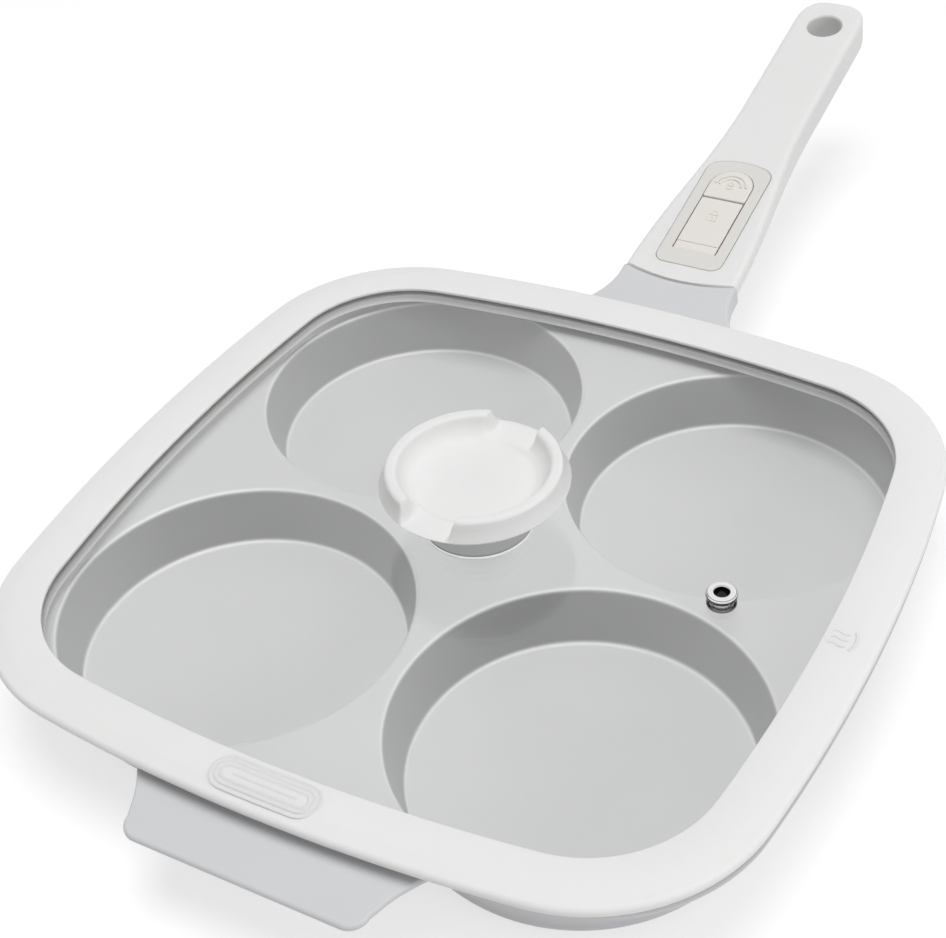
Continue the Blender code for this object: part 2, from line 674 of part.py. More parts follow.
def rim_rings():
    """Section of the silicone rim: top face, brim, seat on the flange, locating lip and groove."""
    edge_out = RIM_WIDTH - RIM_EDGE
    seat = FLANGE_Z + FIT
    groove_out = RIM_COVER + FIT
    groove_low = GLASS_UNDER_Z - FIT
    groove_high = GLASS_TOP_Z + FIT
    lip_z = seat - RIM_LIP_DEPTH
    section = [(0.0, RIM_TOP_Z - EDGE_BREAK), (EDGE_BREAK, RIM_TOP_Z)]
    section.append((edge_out / 2, RIM_TOP_Z + RIM_CROWN))
    section += arc((edge_out, RIM_TOP_Z - RIM_EDGE), RIM_EDGE, 90, RIM_EDGE_END, ARC_STEPS)
    section += [(RIM_SEAT_OUT, seat), (RIM_LIP_OUT + RIM_LIP_STEP, seat)]
    section += [(RIM_LIP_OUT, seat - RIM_LIP_STEP), (RIM_LIP_OUT, lip_z)]
    section += [(RIM_LIP_BREAK, lip_z), (0.0, lip_z + RIM_LIP_BREAK)]
    section += [(0.0, groove_low), (groove_out, groove_low), (groove_out, groove_high), (0.0, groove_high)]
    return [lid_loop(offset, z) for offset, z in section]


def knob_profile():
    """From the dish floor over the crest and the edge to the foot of the dish at the split."""
    edge, crest, neck = KNOB_EDGE_RADIUS, KNOB_CREST_RADIUS, KNOB_NECK_RADIUS
    fillet, fall = KNOB_FLOOR_FILLET, KNOB_CREST_FALL
    split = KNOB_SPLIT_HEIGHT + FIT
    profile = [(KNOB_FLOOR_RADIUS - fillet, KNOB_FLOOR_HEIGHT)]
    profile.append((KNOB_FLOOR_RADIUS + fillet, KNOB_FLOOR_HEIGHT + fillet / 2))
    profile.append((crest - KNOB_CREST_BAND, KNOB_CREST_HEIGHT - KNOB_FLOOR_FILLET / 2))
    profile.append((crest, KNOB_CREST_HEIGHT))
    profile.append((crest + fall + FINE_BREAK, KNOB_CREST_HEIGHT - fall))
    profile.append((edge, KNOB_EDGE_HEIGHT))
    profile.append((edge - fillet, KNOB_EDGE_HEIGHT - KNOB_UNDER_RISE))
    profile.append(((edge + neck) / 2, KNOB_EDGE_HEIGHT - KNOB_UNDER_DROP))
    profile.append((neck + KNOB_COLLAR, split + KNOB_COLLAR_RISE))
    profile.append((neck + EDGE_BREAK, split))
    return profile


def build_knob(lid):
    top = GLASS_TOP_Z
    dish = solid("knob_dish", [turned(knob_profile(), CUP_STEPS)], "white_plastic", lid, (0, 0, top))
    reach = KNOB_EDGE_RADIUS + CUT_RUN
    gap_low = (-KNOB_GAP_WIDTH / 2, -reach, KNOB_EDGE_HEIGHT)
    gap_high = (KNOB_GAP_WIDTH / 2, reach, KNOB_CREST_HEIGHT + CUT_RUN)
    gaps = cutter("knob_gaps", [spun(box(gap_low, gap_high), KNOB_GAP_TURN)], lid, (0, 0, top))
    insert_low = KNOB_SPLIT_HEIGHT + 2 * FIT
    insert_high = KNOB_INSERT_TOP
    bore = KNOB_INSERT_RADIUS + FIT
    socket_rings = turned([(bore, KNOB_SPLIT_HEIGHT - CUT_RUN), (bore, insert_high + FIT)], SMALL_STEPS)
    boolean(dish, "DIFFERENCE", gaps, cutter("insert_socket", [socket_rings], lid, (0, 0, top)))

    clear = KNOB_SCREW_RADIUS + FIT
    insert = [(clear, insert_low), (KNOB_INSERT_RADIUS, insert_low), (KNOB_INSERT_RADIUS, insert_high)]
    insert.append((clear, insert_high))
    solid("knob_insert", [turned(insert, SMALL_STEPS)], "brass", lid, (0, 0, top), closed=True)

    gasket_low = FIT
    gasket_high = gasket_low + KNOB_GASKET_THICKNESS
    gasket_out = KNOB_FOOT_RADIUS - KNOB_GASKET_INSET
    seal = [(clear, gasket_low), (gasket_out, gasket_low), (gasket_out, gasket_high), (clear, gasket_high)]
    solid("knob_gasket", [turned(seal, ROUND_STEPS)], "silicone", lid, (0, 0, top), closed=True)

    foot_z = gasket_high + FIT
    neck_z = KNOB_SPLIT_HEIGHT * KNOB_NECK_SHARE
    base = [(clear, KNOB_SPLIT_HEIGHT), (KNOB_NECK_RADIUS + EDGE_BREAK, KNOB_SPLIT_HEIGHT)]
    base.append((KNOB_NECK_RADIUS, neck_z))
    base.append((KNOB_NECK_RADIUS + KNOB_FOOT_CURVE, foot_z + KNOB_FOOT_CURVE_RISE))
    base += [(KNOB_FOOT_RADIUS, foot_z + KNOB_FOOT_EDGE), (KNOB_FOOT_RADIUS, foot_z), (clear, foot_z)]
    solid("knob_base", [turned(base, CUP_STEPS)], "white_plastic", lid, (0, 0, top), closed=True)

    washer_high = GLASS_UNDER_Z - FIT
    washer_low = washer_high - KNOB_WASHER_THICKNESS
    ring = [(clear, washer_low), (KNOB_WASHER_RADIUS, washer_low), (KNOB_WASHER_RADIUS, washer_high)]
    ring.append((clear, washer_high))
    solid("knob_washer", [turned(ring, ROUND_STEPS)], "steel", lid, closed=True)

    head_z = washer_low - FIT
    screw = [(KNOB_SCREW_RADIUS, top + insert_high - KNOB_SCREW_SHORT), (KNOB_SCREW_RADIUS, head_z)]
    for across, down in SCREW_HEAD_SHARES:
        screw.append((KNOB_SCREW_HEAD_RADIUS * across, head_z - KNOB_SCREW_HEAD * down))
    solid("knob_screw", [turned(screw, SMALL_STEPS)], "steel", lid)


def build_vent(lid):
    """The grommet goes down through the glass, and the ferrule holds it from below."""
    place = (VENT_X, 0, 0)
    seat = GLASS_TOP_Z + FIT
    tail = GLASS_UNDER_Z - FIT - VENT_TAIL
    crown = seat + VENT_HEIGHT
    hole = VENT_HOLE_RADIUS
    bevel = VENT_BEVEL
    section = [(hole + bevel, crown), (VENT_RADIUS - bevel, crown), (VENT_RADIUS, crown - bevel)]
    section += [(VENT_RADIUS, seat), (VENT_BARREL_RADIUS, seat), (VENT_BARREL_RADIUS, tail)]
    section += [(hole, tail), (hole, crown - bevel)]
    solid("vent_grommet", [turned(section, ROUND_STEPS)], "steel", lid, place, closed=True)
    high = GLASS_UNDER_Z - FIT
    low = high - VENT_FERRULE_HEIGHT
    bore = VENT_BARREL_RADIUS + FIT
    ring = [(bore, low), (VENT_FERRULE_RADIUS, low), (VENT_FERRULE_RADIUS, high), (bore, high)]
    solid("vent_ferrule", [turned(ring, ROUND_STEPS)], "steel", lid, place, closed=True)


def build_lid(lid):
    rings = [
        lid_loop(RIM_COVER - GLASS_EDGE, GLASS_TOP_Z), lid_loop(RIM_COVER, GLASS_TOP_Z - GLASS_EDGE),
        lid_loop(RIM_COVER, GLASS_UNDER_Z + GLASS_EDGE), lid_loop(RIM_COVER - GLASS_EDGE, GLASS_UNDER_Z),
    ]
    glass = solid("glass_lid", [rings], "glass", lid)
    above, below = GLASS_TOP_Z + CUT_RUN, GLASS_UNDER_Z - CUT_RUN
    screw_hole = KNOB_SCREW_RADIUS + FIT
    vent_hole = VENT_BARREL_RADIUS + FIT
    holes = [turned([(screw_hole, above), (screw_hole, below)], SMALL_STEPS)]
    holes.append(turned([(vent_hole, above), (vent_hole, below)], ROUND_STEPS, (VENT_X, 0)))
    boolean(glass, "DIFFERENCE", cutter("glass_holes", holes, lid))
    solid("silicone_rim", [rim_rings()], "silicone", lid, closed=True)
    build_knob(lid)
    build_vent(lid)


def ease(share):
    """A smooth step from 0 to 1."""
    share = min(max(share, 0.0), 1.0)
    return 0.5 - 0.5 * math.cos(math.pi * share)


def handle_half(y):
    return HANDLE_FRONT_HALF + (HANDLE_TAIL_HALF - HANDLE_FRONT_HALF) * ease(y / HANDLE_TAPER_LENGTH)


def handle_depth(y):
    return HANDLE_DEPTH + (HANDLE_TAIL_DEPTH - HANDLE_DEPTH) * ease((y - PANEL_END) / (HOLE_Y - PANEL_END))


def belly(front, tail, y):
    return front + (tail - front) * ease(y / HANDLE_TAPER_LENGTH)


def handle_loop(level, start, end, wall):
    """Plan ring of the handle at one level, with its own depth at each place along it.

    A level is the corner of the top edge, or an angle round the belly. wall shrinks the whole form.
    """
    kind, angle = level
    stations = [start + (end - start) * i / HANDLE_STATIONS for i in range(1, HANDLE_STATIONS + 1)]
    round_tail = handle_half(end) - wall

    def inset_and_height(y):
        if kind == "edge":
            return HANDLE_EDGE * (1 - math.sin(angle)), -wall - HANDLE_EDGE * (1 - math.cos(angle))
        side = belly(SIDE_FRONT, SIDE_TAIL, y) + wall
        deep = handle_depth(y) - wall
        reach = belly(BELLY_FRONT, BELLY_TAIL, y)
        return reach * (1 - math.cos(angle)), -side - (deep - side) * math.sin(angle)

    front_inset = min(inset_and_height(start)[0], HANDLE_FRONT_INSET)
    front_width = handle_half(start) - inset_and_height(start)[0] - wall
    half = []
    for share in SEAM_SHARES:
        bow = SEAM_BOW * share ** 2
        half.append((front_width * share, start + front_inset + bow, inset_and_height(start)[1]))
    for y in stations:
        inset, z = inset_and_height(y)
        half.append((handle_half(y) - inset - wall, y, z))
    inset, z = inset_and_height(end)
    half += [(x, end + y, z) for x, y in arc((0, 0), round_tail - inset, 0, 90, TAIL_STEPS)[1:]]
    return half + [(-x, y, z) for x, y, z in reversed(half[1:-1])]


def handle_form(start, end, wall):
    levels = [("edge", math.radians(a)) for a in (0, 45, 90)]
    levels += [("belly", math.radians(a)) for a in (0, 22, 45, 68, 90)]
    return [handle_loop(level, start, end, wall) for level in levels]


def cover_plan(inset):
    """A prism whose plan follows the underside opening of the handle."""
    top = -PANEL_THICKNESS - COVER_TOP_ROOM
    bottom = -HANDLE_TAIL_DEPTH - CUT_RUN
    half = [(0.0, COVER_START + inset)]
    length = COVER_END - COVER_START - 2 * inset
    for i in range(COVER_STATIONS + 1):
        y = COVER_START + inset + length * i / COVER_STATIONS
        half.append((handle_half(y) - COVER_INSET - inset, y))
    half.append((0.0, COVER_END - inset))
    return [at_height(mirrored(half), top), at_height(mirrored(half), bottom)]


def panel_half_outline(grow):
    """Right side of the panel, from the pan end round to the arched tail end."""
    start, end = PANEL_START - grow, PANEL_END + grow
    side = PANEL_HALF + grow
    corner = PANEL_CORNER + grow
    half = [(0.0, start)]
    half += arc((side - corner, start + corner), corner, -90, 0, FILLET_STEPS)
    tail = PANEL_TAIL_CORNER + grow
    half += arc((side - tail, end - PANEL_TAIL_ARCH - tail), tail, 0, PANEL_TAIL_ANGLE, FILLET_STEPS)
    half.append((0.0, end))
    return half


def window_outline():
    """Opening in the panel for the lever and the button behind it."""
    start = LEVER_PIVOT_Y - LEVER_FRONT_RADIUS - LEVER_FRONT_SLIT
    side = LEVER_HALF + LEVER_SLIT
    half = [(0.0, start), (side, start), (side, LEVER_END)]
    half += arc((0, BUTTON_CENTRE_Y), side, 0, 90, TAIL_STEPS)
    return mirrored(half)


def cover_screw_places():
    return [COVER_SCREW_FIRST + COVER_SCREW_SPACING * i for i in range(COVER_SCREW_COUNT)]


def build_shell(handle):
    shell = solid("handle_shell", [handle_form(0, HOLE_Y, 0)], "white_plastic", handle)
    cavity = cutter("handle_cavity", [handle_form(CAVITY_START, CAVITY_END, HANDLE_WALL)], handle)
    opening = cutter("cover_opening", [cover_plan(0)], handle)
    seat = mirrored(panel_half_outline(FIT))
    seat_rings = [at_height(seat, CUT_RUN), at_height(seat, -PANEL_THICKNESS - FIT)]
    seat_cut = cutter("panel_seat", [seat_rings], handle)
    hole = [(HOLE_RADIUS + HOLE_CHAMFER + CUT_RUN, CUT_RUN), (HOLE_RADIUS, -HOLE_CHAMFER)]
    hole.append((HOLE_RADIUS, -HANDLE_TAIL_DEPTH - CUT_RUN))
    hang_hole = cutter("hang_hole", [turned(hole, ROUND_STEPS, (0, HOLE_Y))], handle)
    side = TONGUE_HALF + SLIDE_FIT
    mouth_low = (-side, -CUT_RUN, -TONGUE_HANDLE_DEPTH - TONGUE_THICKNESS - MOUTH_FIT)
    mouth = cutter("mouth", [box(mouth_low, (side, FRAME_START, -TONGUE_LUG_DEPTH + MOUTH_FIT))], handle)
    bosses = []
    pilots = []
    for y in cover_screw_places():
        foot = handle_depth(y) - HANDLE_WALL - FIT
        boss = [(COVER_BOSS_RADIUS, -HANDLE_WALL + COVER_BOSS_ROOT), (COVER_BOSS_RADIUS, -foot)]
        bosses.append(turned(boss, SMALL_STEPS, (0, y)))
        bore = COVER_SCREW_RADIUS + FIT
        pilot = [(bore, -HANDLE_WALL - COVER_PILOT_START), (bore, -foot - CUT_RUN)]
        pilots.append(turned(pilot, SMALL_STEPS, (0, y)))
    boolean(shell, "DIFFERENCE", mouth, cavity, opening, seat_cut, hang_hole)
    boolean(shell, "UNION", cutter("screw_bosses", bosses, handle))
    boolean(shell, "DIFFERENCE", cutter("screw_pilots", pilots, handle))


def build_cover(handle):
    cover = solid("bottom_cover", [handle_form(0, HOLE_Y, 0)], "white_plastic", handle)
    plan = cutter("cover_plan", [cover_plan(FIT)], handle)
    hollow = cutter("cover_hollow", [handle_form(CAVITY_START, CAVITY_END, HANDLE_WALL)], handle)
    boolean(cover, "INTERSECT", plan)
    holes = []
    for number, y in enumerate(cover_screw_places(), 1):
        depth = handle_depth(y)
        bore = COVER_SCREW_RADIUS + FIT
        wide = COVER_SCREW_HEAD_RADIUS + FIT
        seat = -depth + COVER_SCREW_HEAD - COVER_SCREW_SINK
        profile = [(bore, -depth + HANDLE_WALL + CUT_RUN), (bore, seat)]
        profile += [(wide, seat), (wide, -depth - CUT_RUN)]
        holes.append(turned(profile, SMALL_STEPS, (0, y)))
        screw = [(COVER_SCREW_RADIUS, -HANDLE_WALL - COVER_SCREW_START), (COVER_SCREW_RADIUS, seat - FIT)]
        screw.append((COVER_SCREW_HEAD_RADIUS, seat - FIT))
        screw.append((COVER_SCREW_HEAD_RADIUS, -depth + COVER_SCREW_SINK))
        solid(f"cover_screw_{number}", [turned(screw, SMALL_STEPS)], "steel", handle, (0, y, 0))
    boolean(cover, "DIFFERENCE", hollow, cutter("cover_screw_holes", holes, handle))


def build_frame(handle):
    """A channel under the panel that the tongue slides in, with a step that the springs stand on."""
    floor = -FRAME_FLOOR_DEPTH
    low = floor - FRAME_BASE
    half = [(0.0, -FRAME_TOP_DEPTH), (FRAME_HALF, -FRAME_TOP_DEPTH), (FRAME_HALF, low + FRAME_CHAMFER)]
    half += [(FRAME_HALF - FRAME_CHAMFER, low), (0.0, low)]
    rings = [[(x, y, z) for x, z in mirrored(half)] for y in (FRAME_START, FRAME_END)]
    frame = solid("inner_frame", [rings], "inner_plastic", handle)
    side = TONGUE_HALF + SLIDE_FIT
    end = FRAME_END - FRAME_RAIL
    channel = box((-side, FRAME_START - CUT_RUN, floor), (side, end, CUT_RUN))
    boolean(frame, "DIFFERENCE", cutter("frame_channel", [channel], handle))


def build_panel(handle):
    outline = mirrored(panel_half_outline(0))
    inner = mirrored(panel_half_outline(-EDGE_BREAK))
    rings = [at_height(inner, 0), at_height(outline, -EDGE_BREAK), at_height(outline, -PANEL_THICKNESS)]
    panel = solid("button_panel", [rings], "cream_plastic", handle)
    window = window_outline()
    window_rings = [at_height(window, CUT_RUN), at_height(window, -PANEL_THICKNESS - CUT_RUN)]
    cut = cutter("panel_window", [window_rings], handle)
    hole_rings = pin_rings(PIN_RADIUS + PIN_SEAT_FIT, PIN_REACH + FIT)
    pin_hole = cutter("panel_pin_hole", [hole_rings], handle, pivot_place())
    boolean(panel, "DIFFERENCE", cut, pin_hole)


def pivot_place():
    return (0, LEVER_PIVOT_Y, -LEVER_PIVOT_DEPTH)


def pin_rings(radius, reach):
    """A round bar along X, centred on the origin."""
    loop = circle(radius, SMALL_STEPS)
    return [[(x, y, z) for y, z in loop] for x in (-reach, reach)]


def lever_side():
    """Side view of the lever about its pivot: round front, cam under it, flat plate behind."""
    top = LEVER_PIVOT_DEPTH
    front = LEVER_FRONT_RADIUS
    tail = LEVER_END - LEVER_PIVOT_Y
    ridge = LEVER_RIDGE_Y - LEVER_PIVOT_Y
    under = top - LEVER_THICKNESS
    face = top + LEVER_FACE
    upper = arc((0, 0), front, 180, 90, ARC_STEPS)
    upper += [(ridge, top), (ridge + LEVER_RIDGE_FRONT, top + LEVER_RIDGE)]
    upper.append((ridge + LEVER_RIDGE_BACK, face))
    upper += [(tail - LEVER_END_BEVEL, face), (tail, face - LEVER_END_BEVEL)]
    lower = arc((0, 0), front, 180, 270, ARC_STEPS)[1:] + [(tail, under)]
    return lower, upper


def build_lever(lever):
    body = solid("lock_lever", [side_view(*lever_side(), LEVER_HALF)], "cream_plastic", lever)
    cam_y, cam_z = CAM_Y, CAM_OFFSET * math.sin(CAM_ANGLE)
    loop = circle(CAM_RADIUS, ROUND_STEPS)
    cam = [[(x, cam_y + y, cam_z + z) for y, z in loop] for x in (-CAM_HALF, CAM_HALF)]
    boolean(body, "UNION", cutter("lever_cam", [cam], lever))
    bore = cutter("lever_bore", [pin_rings(PIN_RADIUS + PIN_FIT, LEVER_HALF + CUT_RUN)], lever)
    boolean(body, "DIFFERENCE", bore)


def button_loop(inset, z):
    side = LEVER_HALF - inset
    start = LEVER_END + BUTTON_GAP + inset - BUTTON_CENTRE_Y
    half = [(0.0, start), (side, start)]
    half += arc((0, 0), side, 0, 90, TAIL_STEPS)
    return at_height(mirrored(half), z)


def build_button(button):
    top = BUTTON_HEIGHT
    low = top - BUTTON_THICKNESS
    rings = [button_loop(BUTTON_EDGE, top), button_loop(0, top - BUTTON_EDGE), button_loop(0, low)]
    cap = solid("release_button", [rings], "cream_plastic", button)
    stem = [(BUTTON_STEM_RADIUS, low + CUT_RUN), (BUTTON_STEM_RADIUS, low - BUTTON_STEM_LENGTH)]
    boolean(cap, "UNION", cutter("button_stem", [turned(stem, SMALL_STEPS)], button))


def build_clamp(clamp):
    """Flat shoe between the lever's cam and the tongue. Its origin is at its top face under the cam."""
    low = (-SHOE_HALF, SHOE_START - LEVER_PIVOT_Y, SHOE_TOP_DEPTH - SHOE_BOTTOM_DEPTH)
    solid("clamp_shoe", [box(low, (SHOE_HALF, SHOE_END - LEVER_PIVOT_Y, 0))], "steel", clamp)


def build_springs(handle):
    floor = -FRAME_FLOOR_DEPTH + FIT
    shoe = -SHOE_BOTTOM_DEPTH - FIT
    cap = BUTTON_HEIGHT - BUTTON_THICKNESS - FIT
    place = (0, CLAMP_SPRING_Y, 0)
    spring("clamp_spring", CLAMP_SPRING_RADIUS, CLAMP_SPRING_TURNS, (floor, shoe), handle, place)
    place = (0, BUTTON_CENTRE_Y, 0)
    spring("button_spring", BUTTON_SPRING_RADIUS, BUTTON_SPRING_TURNS, (floor, cap), handle, place)


def centre_on_base(root):
    """Move the root so that the middle of the whole object's plan is over the origin."""
    bpy.context.view_layer.update()
    graph = bpy.context.evaluated_depsgraph_get()
    corners = []
    for obj in bpy.context.scene.objects:
        if obj.type == "EMPTY" or obj.hide_render:
            continue
        shape = obj.evaluated_get(graph)
        mesh = shape.to_mesh()
        corners += [obj.matrix_world @ vertex.co for vertex in mesh.vertices]
        shape.to_mesh_clear()
    for axis in (0, 1):
        values = [corner[axis] for corner in corners]
        root.location[axis] = -(min(values) + max(values)) / 2


def main():
    clear_scene()
    root = empty("pan_frame")
    lid = empty("lid_frame", (LID_SHIFT_X, LID_SHIFT_Y, 0), parent=root)
    handle = empty("handle_frame", (0, SEAM_Y, SEAM_Z), HANDLE_RISE, root)
    lever = empty("lever_axis", pivot_place(), parent=handle)
    button = empty("button_axis", (0, BUTTON_CENTRE_Y, 0), parent=handle)
    clamp = empty("clamp_axis", (0, LEVER_PIVOT_Y, -SHOE_TOP_DEPTH), parent=handle)
    build_pan(root, handle)
    build_tongue(handle)
    build_lid(lid)
    build_shell(handle)
    build_cover(handle)
    build_frame(handle)
    build_panel(handle)
    build_lever(lever)
    solid("lever_pin", [pin_rings(PIN_RADIUS, PIN_REACH)], "steel", handle, pivot_place())
    build_button(button)
    build_clamp(clamp)
    build_springs(handle)
    centre_on_base(root)


main()
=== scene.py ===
import math

import bmesh
import bpy
from mathutils import Matrix, Vector, geometry


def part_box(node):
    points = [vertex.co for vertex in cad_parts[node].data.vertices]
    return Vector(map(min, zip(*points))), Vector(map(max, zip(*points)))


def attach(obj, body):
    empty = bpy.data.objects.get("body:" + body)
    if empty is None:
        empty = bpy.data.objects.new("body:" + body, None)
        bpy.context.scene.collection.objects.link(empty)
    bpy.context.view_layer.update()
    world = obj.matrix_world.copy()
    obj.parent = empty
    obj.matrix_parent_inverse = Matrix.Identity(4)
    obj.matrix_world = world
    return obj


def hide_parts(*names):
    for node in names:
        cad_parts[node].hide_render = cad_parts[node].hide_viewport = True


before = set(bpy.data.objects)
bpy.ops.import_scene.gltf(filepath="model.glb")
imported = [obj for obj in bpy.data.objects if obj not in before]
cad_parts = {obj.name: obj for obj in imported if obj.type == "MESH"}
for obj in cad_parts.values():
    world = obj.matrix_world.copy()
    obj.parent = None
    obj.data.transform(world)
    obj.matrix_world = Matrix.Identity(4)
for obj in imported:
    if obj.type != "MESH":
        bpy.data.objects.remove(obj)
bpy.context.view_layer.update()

MM = 0.001
FIT = 0.3                       # gap between pieces that touch
EDGE_BREAK = 0.4                # small bevel on cast and moulded edges
FINE_BREAK = 0.3                # the same on thin plates
CUT_RUN = 1.0                   # how far a cutter runs past the face that it opens

# Pan
CUP_FLOOR_RADIUS = 50.0
CUP_RIM_RADIUS = 53.2
CUP_HALF_PITCH = 56.5
CUP_FLOOR_Z = 5.5
DECK_Z = 24.0
DECK_UNDER_Z = 21.2
CUP_WALL = 2.4
CUP_RIM_FILLET = 1.8
CUP_FLOOR_FILLET = 2.0
CUP_HEEL_CENTRE = 44.0
CUP_HEEL_RADIUS = 8.0
CUP_SKIRT = 0.6
BASE_STANDOFF = 0.5
DISC_RADIUS = 40.0
DISC_THICKNESS = 1.5
DISC_GROOVES = range(34, 4, -4)
GROOVE_HALF = 0.5
GROOVE_DEPTH = 0.25
OPENING_HALF_X = 110.0
PAN_HALF_Y = 109.2
OPENING_SIDE_RADIUS = 567.0
OPENING_CORNER_RADIUS = 38.4
DECK_EDGE = 2.4
DECK_FILLET = 3.0
DECK_UNDER_FILLET = 1.2
WALL_FOOT = 5.4
WALL_TOP = 7.0
WALL_OUT = 9.8
FLANGE_OUT = 12.0
FLANGE_Z = 28.9
FLANGE_THICKNESS = 2.4
LIP_ROOT_HALF = 46.0
LIP_TIP_HALF = 37.5
LIP_WAIST = 1.0
LIP_LENGTH = 19.4
LIP_CORNER = 5.6
LIP_THICKNESS = 2.2
LIP_EDGE = 1.0
LIP_STEP = 0.2
LIP_DROP = 1.8

# Lid and knob, knob heights above the glass
LID_HALF_Y = 107.5
RIM_SEAT_OUT = 12.4
RIM_WIDTH = 15.6
RIM_EDGE = 1.9
RIM_EDGE_DROP = 2.2
RIM_EDGE_DEPTH = 3.3
RIM_INNER_EDGE = 0.35
RIM_TOP_Z = 35.0
RIM_CROWN = 0.35
RIM_CROWN_FALL = 0.21           # how much lower the crown is at its start and end
RIM_CROWN_START = 1.6
RIM_CROWN_END = 13.2
RIM_COVER = 5.0
RIM_LIP_OUT = 2.2
RIM_LIP_STEP = 0.9
RIM_LIP_DEPTH = 1.9
RIM_LIP_BREAK = 0.5
GLASS_TOP_Z = 33.7
GLASS_UNDER_Z = 30.5
KNOB_FOOT_RADIUS = 16.8
KNOB_NECK_RADIUS = 12.5
KNOB_EDGE_RADIUS = 28.7
KNOB_EDGE_HEIGHT = 17.4
KNOB_CREST_RADIUS = 26.0
KNOB_CREST_HEIGHT = 23.4
KNOB_FLOOR_RADIUS = 18.5
KNOB_GAP_TURN = math.radians(-4.0)
KNOB_FLOOR_HEIGHT = 16.6
KNOB_SPLIT_HEIGHT = 9.0
KNOB_GAP_INNER = 7.0            # half of the gap's width at its floor
KNOB_GAP_OUTER = 9.4            # and at the crest
KNOB_SCREW_RADIUS = 2.0
KNOB_BORE_RADIUS = 4.8
KNOB_BORE_TOP = 14.9
VENT_X = 78.5
VENT_HOLE_RADIUS = 2.2
VENT_BARREL_RADIUS = 3.2
VENT_RADIUS = 4.6
VENT_HEIGHT = 1.8
VENT_TAIL = 0.9
VENT_COLLAR = 4.4

# Handle
SEAM_Y = 140.4
SEAM_Z = 33.3
HANDLE_RISE = math.atan(0.199)
SEAM_BOW = 3.3
HANDLE_FRONT_HALF = 21.4
HANDLE_TAIL_HALF = 13.5
HANDLE_TAPER_LENGTH = 99.0
HANDLE_DEPTH = 14.2
HANDLE_TAIL_DEPTH = 16.6
HANDLE_EDGE = 2.4
HANDLE_WALL = 2.0
HANDLE_FRONT_INSET = 0.5
BELLY_FRONT = 14.0
BELLY_TAIL = 6.0
SIDE_FRONT = 2.4
SIDE_TAIL = 10.5
HOLE_Y = 151.4
HOLE_RADIUS = 6.6
TAIL_REACH = 2.7                # how much farther than a half circle the tail reaches
TAIL_SQUARENESS = 3.1           # 2 gives an ellipse, more gives fuller corners
HOLE_CHAMFER = 1.0
CAVITY_START = 3.0
CAVITY_END = 124.0
COVER_START = 15.0
COVER_END = 122.0
COVER_INSET = 4.6
COVER_TOP_DEPTH = 7.0
COVER_SCREWS = (71.5, 93.5, 115.5)
COVER_SCREW_RADIUS = 1.2
COVER_SCREW_HEAD_RADIUS = 2.4
COVER_SCREW_SEAT = 0.9
COVER_SCREW_SINK = 0.1
COVER_BOSS_RADIUS = 3.2
LUG_HALF = 21.8
LUG_FLARE = 13.0
LUG_THICKNESS = 8.6
LUG_EDGE = 1.8
LUG_END_SHARE = 0.3
LUG_ROOT_Y = 116.5
TONGUE_HALF = 9.0
TONGUE_LUG_DEPTH = 4.0
TONGUE_THICKNESS = 2.4
TONGUE_ROOT = 17.0
MOUTH_HALF = 9.35
MOUTH_TOP = 3.5
MOUTH_BOTTOM = 10.3
MOUTH_END = 12.5
RIVET_RADIUS = 1.9
RIVET_X = 5.0
RIVET_Y = -9.0
PANEL_START = 8.3
PANEL_END = 65.5
PANEL_HALF = 12.6
PANEL_CORNER = 4.0
PANEL_TAIL_CORNER = 5.6
PANEL_TAIL_ARCH = 1.2
PANEL_THICKNESS = 3.0
PANEL_GAP = 0.16
LEVER_PIVOT_Y = 16.7
LEVER_PIVOT_DEPTH = 1.5
LEVER_END = 43.9
LEVER_HALF = 8.0
LEVER_THICKNESS = 2.6
LEVER_SLIT = 0.4
LEVER_END_ROOM = 1.7
LEVER_FACE = 0.2
LEVER_END_BEVEL = 0.5
PIN_RADIUS = 0.7
PIN_REACH = 11.0
CAM_RADIUS = 2.2
CAM_Y = 0.5
CAM_Z = -0.866
CAM_HALF = 6.0
BUTTON_CENTRE_Y = 51.7
BUTTON_HEIGHT = 0.5
BUTTON_THICKNESS = 3.4
BUTTON_EDGE = 0.6
BUTTON_GAP = 0.5
BUTTON_HALF = 8.15
BUTTON_STEM_RADIUS = 1.5
BUTTON_STEM_LENGTH = 3.0
LOCK_MARK_Y = 34.8
BUTTON_ARCS_Y = 50.9
BUTTON_ARC_RADII = (6.0, 4.2)

# Marks on the rim
GRIP_X = -1.5
GRIP_OFFSET = 7.2
GRIP_HALF = 16.5
GRIP_RADII = (5.2, 3.7, 2.2)
STEAM_Y = -3.9
STEAM_OFFSET = 4.4
STEAM_BAR_OFFSET = 9.2
STEAM_LENGTH = 5.0
STEAM_PITCH = 2.4
STEAM_SWING = 0.45
STEAM_BAR_RADIUS = 7.0

# Width and height of the raised lines of each mark
GRIP_LINE = (0.95, 0.17)
STEAM_LINE = (0.8, 0.26)
STEAM_BAR_LINE = (0.9, 0.22)
LOCK_LINE = (0.55, 0.32)
KEYHOLE_LINE = (0.4, 0.28)
BUTTON_ARC_LINE = (1.15, 0.6)
LINE_SINK = 0.15                # how far a line's foot reaches into the surface
RIM_LINE_SINK = 0.02            # how much lower the lines on the rim start

# Fineness of the meshes
FLATNESS = 0.00005
CUP_STEPS = 144
KNOB_STEPS = 480
TURN_STEPS = 96
SMALL_STEPS = 48
SIDE_POINTS = 14
CORNER_POINTS = 18
TAIL_POINTS = 20
ARC_STEPS = 8
STATIONS = 44
FLOOR_STEPS = 64
SEAM_SHARES = [i / 12 for i in range(13)]
SHARP = math.radians(38)


